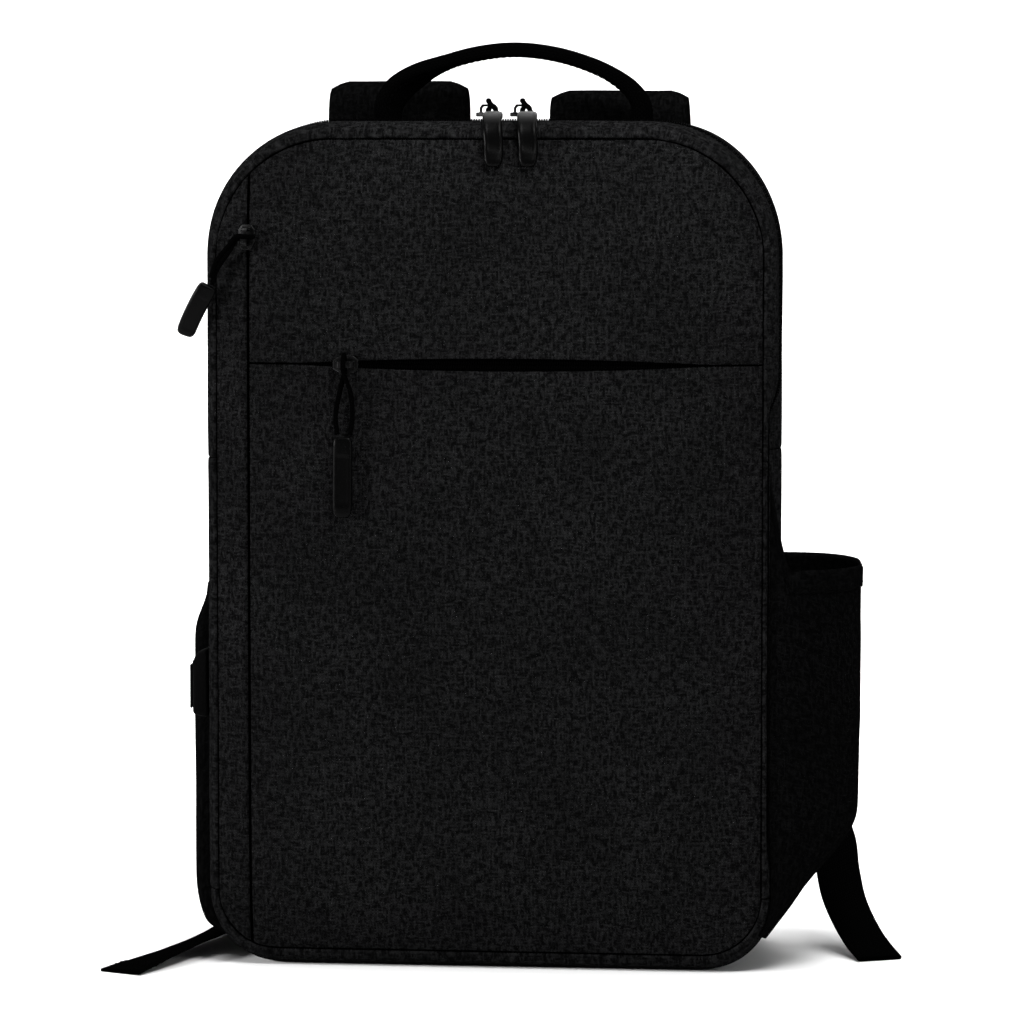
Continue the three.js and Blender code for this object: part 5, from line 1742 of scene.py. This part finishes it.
@dataclass
class Harness:
    """Shoulder straps, ladder locks, their tabs, the anchors and the adjusting webbing."""

    form: BagForm
    finishes: Finishes
    width: float = 73 * MM
    thickness: float = 11 * MM
    end_height: float = 152 * MM
    stand_off: float = 38 * MM
    splay: float = 50 * MM
    webbing: float = 25 * MM
    webbing_thickness: float = 1.5 * MM
    lock_length: float = 27 * MM
    lock_thickness: float = 3.4 * MM
    lock_drop: float = 24 * MM
    top_bar: float = 3 * MM
    slot: float = 6.6 * MM
    tab_thickness: float = 1.2 * MM
    anchor_length: float = 34 * MM
    anchor_base: float = 42 * MM
    anchor_thickness: float = 2.4 * MM
    anchor_height: float = 38 * MM
    anchor_set_in: float = 28 * MM
    gap: float = 0.4 * MM
    seat: float = 0.35 * MM

    def build(self) -> None:
        """Makes both straps with all that hangs on them."""
        for side, x, peak in ((Side.LEFT, 63.5 * MM, 21 * MM), (Side.RIGHT, 55 * MM, 16 * MM)):
            coarse = self.strap_rows(side, x, peak)
            self.strap(side, coarse)
            lock = LockFrame.below(smooth_stations(coarse, 26), self.lock_drop)
            self.lock(side)
            self.tab(side, lock)
            self.anchor(side, lock)
            self.adjuster(side, lock)

    def strap_rows(self, side: Side, x: float, peak: float) -> list[Station]:
        """The strap's route: from the top of the back, over a peak, and down behind to the lock."""
        peak_z = self.form.crown + peak - self.thickness * STRAP_TABLE[3][4] / 2
        return [Station(Vector((side.value * (x + aside * self.splay), self.form.back_y + back * self.stand_off,
                                mix(self.end_height, peak_z, up))), X_AXIS, width * self.width,
                        thick * self.thickness)
                for up, back, aside, width, thick in STRAP_TABLE]

    def strap(self, side: Side, rows: Sequence[Station]) -> None:
        """The padded strap: cloth outside, air mesh inside, and stitching along both edges."""
        stations = smooth_stations(rows, 150)

        def section(share: float, station: Station) -> list[tuple[float, float]]:
            """A padded section that thins towards its sewn edges."""
            wide, thick = station.width / 2, station.thickness / 2
            ends = min(ease(share, 0, 0.02), ease(1 - share, 0, 0.02))
            edge = min(2.1 * MM, thick * 0.55)
            outline = []
            for way in (1, -1):
                for k in range(17):
                    a = mix(wide, -wide, k / 16) * way
                    inwards = wide - abs(a)
                    full = ease(inwards, 0, 7 * MM)
                    dip = 0.9 * MM * math.exp(-((inwards - 5 * MM) / (1.6 * MM)) ** 2)
                    uneven = 0.55 * MM * rough(a, share * 0.6, 31.0 + way + side.value, 30 * MM) * full
                    tip = math.sqrt(max(1 - max(1 - inwards / (2.1 * MM), 0) ** 2, 0))
                    t = (mix(edge, thick, full) - dip * full ** 0.3 + uneven) * (0.25 + 0.75 * tip)
                    outline.append((a, way * t * mix(0.4, 1, ends)))
            return outline

        finish = self.finishes
        obj = sweep(f"shoulder_strap_{side.word}_pad", stations, section, finish.cloth,
                    faces_of=lambda place: 1 if self.is_inner(place) else 0, more=[finish.air_mesh])
        keep_piece(obj, Slot.CLOTH, f"shoulder_strap_{side.word}")
        frames = strap_frames(stations)
        paths = []
        for way in (-1, 1):
            for edge in (-1, 1):
                line = []
                for station, (_, across, through) in list(zip(stations, frames))[4:-4]:
                    depth = min(2.1 * MM, station.thickness * 0.275) + 0.25 * MM
                    place = station.point + across * edge * (station.width / 2 - 5 * MM)
                    line.append((place + through * way * depth, through * way))
                paths.append(line)
        face_stitches(f"shoulder_strap_{side.word}_stitching", paths, finish.thread, Slot.CLOTH)

    @staticmethod
    def is_inner(place: float) -> bool:
        """Whether a place round the section lies on the wearer's side, inside the edge stitching."""
        return 0.05 < place < 0.45

    def lock(self, side: Side) -> None:
        """The moulded ladder lock."""
        node = f"ladder_lock_{side.word}"
        obj = bevelled_copy(node, f"{node}_moulding", 0.7 * MM, self.finishes.plastic, 3)
        keep_piece(obj, Slot.PLASTIC, node)

    def bar_turn(self, thickness: float, way: int) -> list[tuple[float, float]]:
        """Half a turn of webbing round a bar: offsets past its edge and away from the lock's middle."""
        set_in = self.lock_thickness * 0.3
        radius = math.hypot(set_in, self.lock_thickness / 2) + thickness / 2 + self.gap
        angles = [math.radians(a) for a in (90, 45, 0, -45, -90)]
        return [(way * (set_in - radius * math.cos(a)), radius * math.sin(a)) for a in angles]

    def tab(self, side: Side, lock: LockFrame) -> None:
        """The loop of webbing that ties the lock to the strap's end."""
        top = self.lock_length / 2
        low = top - self.top_bar
        ends = self.lock_drop - self.gap
        flank = (self.tab_thickness + self.gap) / 2
        turn = self.bar_turn(self.tab_thickness, 1)
        beside = turn[0][1]
        above, closing = top + self.lock_thickness, beside * 0.85
        loop = [(ends, flank), (above, closing), (top, beside), *((low + v, w) for v, w in turn),
                (top, -beside), (above, -closing), (ends, -flank)]
        rows = [Station(lock.at(v, w), lock.across, self.webbing, self.tab_thickness) for v, w in loop]
        obj = sweep(f"buckle_tab_{side.word}_webbing", smooth_stations(rows, 60), rounded_profile(0.9, 2),
                    self.finishes.webbing)
        keep_piece(obj, Slot.WEBBING, f"buckle_tab_{side.word}")

    def anchor_place(self, side: Side, lock: LockFrame) -> tuple[Vector, Vector, Vector, float]:
        """Where the anchor tab lies: its middle, the ways across and up, and its upper reach."""
        x, z = side.value * (self.form.half_width - self.anchor_set_in), self.anchor_height
        top = self.anchor_length * 0.45
        y = self.form.back(x - side.value * self.anchor_base / 2, z + top) + self.seat
        place = Vector((x, y, z))
        toward = lock.centre - place
        up = Vector((toward.x, 0, toward.z)).normalized()
        return place, up.cross(Y_AXIS).normalized(), up, top

    def anchor(self, side: Side, lock: LockFrame) -> None:
        """The cloth triangle that holds the webbing's low end, sewn with a box of stitches."""
        node = f"anchor_tab_{side.word}"
        obj = bevelled_copy(node, f"{node}_cloth", 0.8 * MM, self.finishes.tape, 3)
        keep_piece(obj, Slot.CLOTH, node)
        place, across, up, top = self.anchor_place(side, lock)
        lift = Y_AXIS * (self.anchor_thickness + 0.1 * MM)
        neck, foot = self.webbing / 2 - 2 * MM, self.anchor_base / 2 - 4 * MM
        low = -self.anchor_length * 0.4 + 3 * MM
        corners = [(-foot, low), (foot, low), (neck, top - 3 * MM), (-neck, top - 3 * MM), (-foot, low)]
        line = []
        for (a0, u0), (a1, u1) in zip(corners, corners[1:]):
            line += [(place + lift + across * mix(a0, a1, k / 8) + up * mix(u0, u1, k / 8), Y_AXIS)
                     for k in range(8)]
        face_stitches(f"{node}_stitching", [line], self.finishes.thread, Slot.CLOTH)

    def tail(self, side: Side) -> list[Station]:
        """The free tail's stations, from the lock to its end on the floor."""
        if side is Side.LEFT:
            out_reach, ahead_reach, start = 47 * MM, 153 * MM, 92 * MM
            rows = [(-0.255, -0.275, 1, 1, 0, 0), (-0.12, -0.285, 0.674, 0.9, -0.3, 0),
                    (-0.06, -0.27, 0.36, 0.7, -0.6, 0), (-0.02, -0.17, 0.13, 0.9, -0.3, 0.1),
                    (0.04, 0.02, 0.075, 0.97, -0.1, 0.16), (0.13, 0.24, 0.062, 0.96, -0.15, 0.22),
                    (0.28, 0.46, 0.06, 0.92, -0.3, 0.26), (0.47, 0.67, 0.056, 0.88, -0.4, 0.24),
                    (0.69, 0.85, 0.04, 0.75, -0.55, 0.12), (0.92, 1, 0.0135, 0.62, -0.78, 0)]
        else:
            out_reach, ahead_reach, start = 57 * MM, 73 * MM, 96 * MM
            rows = [(-0.158, -0.603, 1, 1, 0, 0), (0.105, -0.548, 0.854, 0.97, 0.2, 0),
                    (0.351, -0.384, 0.708, 0.9, 0.42, 0), (0.509, -0.178, 0.552, 0.87, 0.5, 0),
                    (0.561, 0.041, 0.396, 0.87, 0.5, 0), (0.632, 0.301, 0.26, 0.87, 0.5, 0),
                    (0.754, 0.575, 0.146, 0.87, 0.5, 0), (0.877, 0.808, 0.068, 0.87, 0.5, 0),
                    (1, 1, 0.0135, 0.87, 0.5, 0)]
        return [Station(Vector((side.value * (self.form.half_width + out * out_reach),
                                self.form.back_y - ahead * ahead_reach, up * start)),
                        Vector(across), self.webbing, self.webbing_thickness)
                for out, ahead, up, *across in rows]

    def adjuster(self, side: Side, lock: LockFrame) -> None:
        """The webbing from the anchor up through the lock and down as the free tail with a sewn hem."""
        place, across, up, top = self.anchor_place(side, lock)
        lift = Y_AXIS * (self.anchor_thickness + self.seat + self.webbing_thickness / 2)
        start, end = (place + lift + up * v for v in (-self.webbing_thickness, top))
        edge = self.lock_length / 2 - self.top_bar - self.slot
        turn = self.bar_turn(self.webbing_thickness, -1)[::-1]
        behind = turn[0][1]
        low = -self.lock_length / 2
        lead = low - self.webbing / 3

        def towards(share: float) -> Vector:
            """A point on the way from the anchor to the lock."""
            return end.lerp(lock.at(lead, behind), share)

        climb = [towards(0.6), lock.at(lead, behind - self.webbing_thickness * 0.4), lock.at(low, behind),
                 *(lock.at(edge + v, w) for v, w in turn), lock.at(low, -behind),
                 lock.at(lead, self.webbing_thickness * 0.67 - behind)]
        thick = self.webbing_thickness
        rows = [Station(p, across, self.webbing, thick) for p in (start, end.lerp(start, 0.5), end, towards(0.25))]
        rows += [Station(p, lock.across, self.webbing, thick) for p in climb]
        rows += self.tail(side)
        stations = smooth_stations(rows, 260)
        length = sum((b.point - a.point).length for a, b in zip(stations, stations[1:]))
        run = 0.0
        hem = 20 * MM
        for before, station in zip(stations, stations[1:]):
            run += (station.point - before.point).length
            station.thickness *= 1 + 0.7 * ease(run, length - hem - 2 * MM, length - hem)
        obj = sweep(f"adjuster_webbing_{side.word}_strap", stations, rounded_profile(0.9, 2), self.finishes.webbing)
        keep_piece(obj, Slot.WEBBING, f"adjuster_webbing_{side.word}")
        frames = strap_frames(stations)
        tail = [k for k, s in enumerate(stations) if (s.point - stations[-1].point).length < hem]
        bars = []
        for k in (tail[1], tail[len(tail) // 3]):
            s, (_, way, through) = stations[k], frames[k]
            for face in (-1, 1):
                bars.append([(s.point + way * mix(-0.42, 0.42, j / 12) * s.width + through * face * s.thickness / 2,
                              through * face) for j in range(13)])
        face_stitches(f"adjuster_webbing_{side.word}_stitching", bars, self.finishes.thread, Slot.WEBBING)


@dataclass
class BackPanel:
    """The padded back: air mesh over foam, with sewn channels that let air pass."""

    form: BagForm
    finishes: Finishes
    wall: float = 9 * MM
    step: float = 4.2 * MM
    pad_low: float = 66 * MM
    pad_high: float = 340 * MM
    pad_half: float = 116 * MM
    channel_half: float = 12 * MM
    bulge: float = 5 * MM
    rows: tuple[float, ...] = (157 * MM, 249 * MM)

    def build(self) -> None:
        """Makes the panel and the stitching in its channels."""
        form = self.form
        edge = form.half_width - form.inset
        places = spaced(-edge, edge, self.step)
        count = round((form.top_at(0.0) - form.low_at(0.0)) / self.step)
        points: Grid = []
        uv = []
        for x in places:
            heights = crowded(form.low_at(x), form.top_at(x), count)
            points.append([Vector((x, self.face(x, z), z)) for z in heights])
            uv.append([(x, z) for z in heights])
        obj = cloth_sheet("back_panel_pad", points, uv, lambda _: Y_AXIS, self.wall, self.finishes.air_mesh)
        keep_piece(obj, Slot.AIR_MESH, "back_panel")
        face_stitches("back_panel_stitching", self.seams(), self.finishes.thread, Slot.AIR_MESH)

    def seam_distance(self, x: float, z: float) -> float:
        """How far a place lies inside its pad: none in a channel or outside the padded field."""
        across = min(abs(x) - self.channel_half, self.pad_half - abs(x))
        up = min(z - self.pad_low, self.pad_high - z, *(abs(z - row) - 2 * MM for row in self.rows))
        return min(across, up)

    def face(self, x: float, z: float) -> float:
        """The back's Y with its pads and their unevenness."""
        inside = self.seam_distance(x, z)
        full = 1 - math.exp(-max(inside, 0.0) / (11 * MM))
        wrinkle = 0.5 * MM * rough(x, z, 51.0, 14 * MM) * math.exp(-max(inside, 0.0) / (9 * MM)) * (inside > 0)
        distance = self.form.edge_distance(x, z)
        return self.form.back(x, z) + self.bulge * full + wrinkle - seam_roll(distance)

    def seams(self) -> list[list[tuple[Vector, Vector]]]:
        """The stitched lines round the pads."""
        half, inner, gap = self.pad_half, self.channel_half, 2 * MM
        levels = [self.pad_low, *self.rows, self.pad_high]
        paths = []
        for side in (-1, 1):
            for low, high in zip(levels, levels[1:]):
                bottom = low + (gap if low != self.pad_low else 0)
                top = high - (gap if high != self.pad_high else 0)
                corners = [(inner, bottom), (half, bottom), (half, top), (inner, top), (inner, bottom)]
                line = []
                for (x0, z0), (x1, z1) in zip(corners, corners[1:]):
                    for k in range(20):
                        x, z = side * mix(x0, x1, k / 20), mix(z0, z1, k / 20)
                        line.append((Vector((x, self.form.back(x, z) + 0.2 * MM, z)), Y_AXIS))
                paths.append(line)
        return paths


@dataclass
class SidePocket:
    """An open pocket on one side of the gusset, with a bound rim."""

    form: BagForm
    finishes: Finishes
    side: Side
    node: str
    front: float
    back: float
    rim: float
    corner_rim: float
    foot: float
    turn: float
    bulge: float
    taper: float
    fullness: float
    rim_lean: float = 0.0
    wall: float = 1.3 * MM
    seat: float = 0.8 * MM
    crowding: float = 0.8
    turn_share: float = 0.4
    corner_reach: float = 0.25
    columns: int = 72
    rows: int = 44
    sag: float = 1.2 * MM
    rim_width: float = 11 * MM

    def point(self, across: float, up: float, lift: float = 0.0) -> tuple[Vector, Vector]:
        """A point of the pocket and the way out there, from shares across and up."""
        angle = math.pi * (across - self.crowding * math.sin(2 * math.pi * across) / (2 * math.pi))
        cosine = math.cos(angle)
        swing = math.copysign(abs(cosine) ** (2 / self.fullness), cosine)
        bow = abs(math.sin(angle)) ** (2 / self.fullness)
        middle = self.form.front_y + (self.front + self.back) / 2
        y = middle - swing * ((self.back - self.front) / 2 + self.wall)
        corner = max(1 - bow / self.corner_reach, 0) ** 1.5 if swing > 0 else 0.0
        top = mix(self.rim, self.corner_rim, corner)
        under = 1 - math.cos(min(up / self.turn_share, 1) * math.pi / 2)
        above = max(up - self.turn_share, 0) / (1 - self.turn_share)
        z = mix(mix(self.foot - self.wall, self.foot + self.turn, under), top, above)
        full = self.bulge * mix(under, ease(under, 0, 1), 0.5) * mix(self.taper, 1, above)
        full *= 1 - self.rim_lean * ease(above, 0.84, 1.0)
        dent = self.form.dent(self.side.value * self.form.half_width, y, z)
        free = min(across, 1 - across, up * 1.5)
        calm = ease(free, 0.03, 0.18) * (1 - ease(up, 0.9, 1.0))
        soft = self.sag * (rough(y, z, 61.0, 45 * MM) + 0.4 * rough(y, z, 63.0, 17 * MM)) * calm
        gather = 0.35 * MM * rough(y, z * 0.25, 65.0, 7 * MM) * ease(free, 0.03, 0.1) * ease(up, 0.7, 0.9)
        out = self.seat + bow * (full + dent + self.wall) + soft * min(self.bulge / (9 * MM), 1) + gather + lift
        at = self.form.station(self.side, z)
        return self.form.gusset(at, y, out), Vector((at.nx * bow, -swing * (1 - bow), at.nz * bow)).normalized()

    def build(self) -> None:
        """Makes the pocket, its rim binding and its stitching."""
        grid = [[self.point(i / self.columns, j / self.rows)[0] for j in range(self.rows + 1)]
                for i in range(self.columns + 1)]
        uv = self.measure(grid)
        obj = cloth_sheet(f"{self.node}_cloth", grid, uv, self.outward, self.wall, self.finishes.cloth)
        keep_piece(obj, Slot.CLOTH, self.node)
        self.binding(grid)

    def outward(self, place: Vector) -> Vector:
        """The way out at a place on the pocket."""
        middle = self.form.front_y + (self.front + self.back) / 2
        return place - Vector((self.side.value * self.form.half_width * 0.9, middle, place.z))

    @staticmethod
    def measure(grid: Grid) -> list[list[tuple[float, float]]]:
        """Each point's place in the flat cloth, from the distances along the grid's middle lines."""
        middle = len(grid[0]) // 2
        across = [0.0]
        for a, b in zip(grid, grid[1:]):
            across.append(across[-1] + (b[middle] - a[middle]).length)
        uv = []
        for u, column in zip(across, grid):
            up = [0.0]
            for a, b in zip(column, column[1:]):
                up.append(up[-1] + (b - a).length)
            uv.append([(u, v) for v in up])
        return uv

    def binding(self, grid: Grid) -> None:
        """The bound rim: a flat elastic folded over the edge, with a row of stitches."""
        stations = []
        for k in range(self.columns + 1):
            across = k / self.columns
            top, out = self.point(across, 1.0)
            low, _ = self.point(across, 1.0 - self.rim_width / 2 / max((grid[k][-1] - grid[k][self.rows // 2]).length * 2, MM))
            stations.append((top, low, out))
        points: Grid = []
        uv = []
        run = 0.0
        for k, (top, low, out) in enumerate(stations):
            if k:
                run += (top - stations[k - 1][0]).length
            down = (low - top).normalized()
            ring = []
            places = []
            steps = 14
            for j in range(steps + 1):
                share = j / steps
                turn = math.pi * ease(share, 0.38, 0.62)
                fall = self.rim_width * (abs(share - 0.5) * 2)
                side = math.cos(turn) * (self.wall / 2 + 0.3 * MM)
                crest = 0.5 * MM * math.sin(turn)
                middle = top - out * (self.wall / 2)
                ring.append(middle + out * side + down * fall - down * crest)
                places.append((share * self.rim_width * 2, run))
            points.append(ring)
            uv.append(places)
        obj = cloth_sheet(f"{self.node}_rim", points, uv, self.outward, 0.25 * MM, self.finishes.cloth, rounds=0)
        keep_piece(obj, Slot.CLOTH)
        line = [(top + (low - top).normalized() * self.rim_width * 0.8 + out * 0.55 * MM, out)
                for top, low, out in stations[2:-2]]
        face_stitches(f"{self.node}_stitching", [line], self.finishes.thread, Slot.CLOTH)


@dataclass
class ChargingPort:
    """The charging port's housing with its soft cover."""

    finishes: Finishes

    def build(self) -> None:
        """Makes the housing and the cover."""
        housing = bevelled_copy("port_housing", "port_housing_moulding", 1.3 * MM, self.finishes.plastic, 3)
        keep_piece(housing, Slot.PLASTIC, "port_housing")
        cover = bevelled_copy("port_cover", "port_cover_flap", 0.5 * MM, self.finishes.rubber, 3)
        keep_piece(cover, Slot.RUBBER, "port_cover")


@dataclass(frozen=True)
class Studio:
    """The camera, a pale floor that curves up behind, and soft lights."""

    azimuth: float = 6.4
    distance: float = 2.5
    height: float = 0.435
    pitch: float = 4.673
    yaw: float = 0.131
    focal_share: float = 4808 / 1024
    sensor: float = 36.0

    def build(self) -> None:
        """Makes the camera, the floor and the lights."""
        scene = bpy.context.scene
        scene.view_settings.view_transform = "Standard"
        camera = bpy.data.cameras.new("camera")
        camera.sensor_width = self.sensor
        camera.lens = self.focal_share * self.sensor
        camera.clip_end = 50
        obj = bpy.data.objects.new("camera", camera)
        turn = math.radians(self.azimuth)
        obj.location = (self.distance * math.sin(turn), -self.distance * math.cos(turn), self.height)
        obj.rotation_euler = (math.radians(90 - self.pitch), 0, turn - math.radians(self.yaw))
        scene.collection.objects.link(obj)
        scene.camera = obj
        self.floor()
        self.lights()

    def floor(self) -> None:
        """A pale floor that curves up into a wall far behind the bag."""
        wide, near, far, radius, tall = 9.0, -6.0, 3.0, 1.6, 6.0
        line = [(near, 0.0), (far, 0.0)]
        line += [(far + radius * math.sin(a), radius * (1 - math.cos(a)))
                 for a in (math.pi / 2 * k / 16 for k in range(1, 17))]
        line.append((far + radius, tall))
        verts = [(x, y, z) for y, z in line for x in (-wide, wide)]
        faces = [(2 * k, 2 * k + 1, 2 * k + 3, 2 * k + 2) for k in range(len(line) - 1)]
        mesh = bpy.data.meshes.new("studio_floor")
        mesh.from_pydata(verts, [], faces)
        shade_smooth(mesh)
        material, nodes, shader = start_material("studio_paper")
        nodes.feed(shader.inputs["Base Color"], (0.86, 0.86, 0.86, 1))
        nodes.feed(shader.inputs["Roughness"], 0.9)
        nodes.feed(shader.inputs["Specular IOR Level"], 0.1)
        mesh.materials.append(material)
        add_object("studio_floor", mesh)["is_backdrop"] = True

    def lights(self) -> None:
        """A key from the left, a narrow strip at the right, a soft top and light for the backdrop."""
        world = bpy.data.worlds.new("studio_world")
        world.use_nodes = True
        background = world.node_tree.nodes["Background"]
        background.inputs[0].default_value = (1, 1, 1, 1)
        background.inputs[1].default_value = 0.1
        bpy.context.scene.world = world
        self.area("key_light", (-2.1, -0.95, 0.66), (0, -0.06, 0.3), 0.3, 62)
        self.area("strip_light", (1.9, -1.0, 0.6), (0, 0, 0.25), 0.16, 7)
        self.area("top_light", (0.25, -0.46, 0.92), (0.08, 0, 0.42), 0.4, 9)
        self.area("floor_light", (0, 1.6, 3.4), (0, 1.9, 0), 4.0, 190)
        self.area("backdrop_light", (0, 0.9, 2.6), (0, 4.4, 0.9), 3.0, 170)

    @staticmethod
    def area(name: str, place: Sequence[float], target: Sequence[float], size: float, power: float) -> None:
        """Adds a square area light that looks at a target."""
        light = bpy.data.lights.new(name, "AREA")
        light.size = size
        light.energy = power
        obj = bpy.data.objects.new(name, light)
        obj.location = place
        way = Vector(target) - Vector(place)
        obj.rotation_euler = way.to_track_quat("-Z", "Y").to_euler()
        bpy.context.scene.collection.objects.link(obj)


def side_pockets(form: BagForm, finishes: Finishes) -> list[SidePocket]:
    """The bottle pocket on the right and the flat pocket on the left."""
    bottle = SidePocket(form, finishes, Side.RIGHT, "bottle_pocket", front=4 * MM, back=110 * MM, rim=206 * MM,
                        corner_rim=254 * MM, foot=22 * MM, turn=54 * MM, bulge=41 * MM, taper=0.97, fullness=2.5)
    slip = SidePocket(form, finishes, Side.LEFT, "slip_pocket", front=30 * MM, back=112 * MM, rim=196 * MM,
                      corner_rim=196 * MM, foot=13 * MM, turn=12 * MM, bulge=11.6 * MM, taper=1.0, fullness=4.0,
                      rim_lean=0.8, sag=0.5 * MM)
    return [bottle, slip]


def main() -> None:
    """Builds the bag's looks round its frame, piece by piece."""
    logging.basicConfig(level=logging.INFO, format="%(name)s: %(message)s", force=True)
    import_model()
    Studio().build()
    finishes = Finishes()
    form = BagForm.from_frame()
    front = FrontPanels(form, finishes)
    front.build()
    gusset = Gusset(form, finishes)
    gusset.build()
    Zips(form, finishes, front, gusset).build()
    ZipPulls(form, finishes, front, gusset).build()
    CarryHandle(form, finishes).build()
    Harness(form, finishes).build()
    BackPanel(form, finishes).build()
    for pocket in side_pockets(form, finishes):
        pocket.build()
    ChargingPort(finishes).build()
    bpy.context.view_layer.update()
    pieces = [o for o in bpy.data.objects if o.type == "MESH" and not o.hide_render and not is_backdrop(o)]
    LOG.info("%d pieces, %d triangles", len(pieces), sum(triangle_count(o) for o in pieces))


if __name__ == "__main__":
    main()
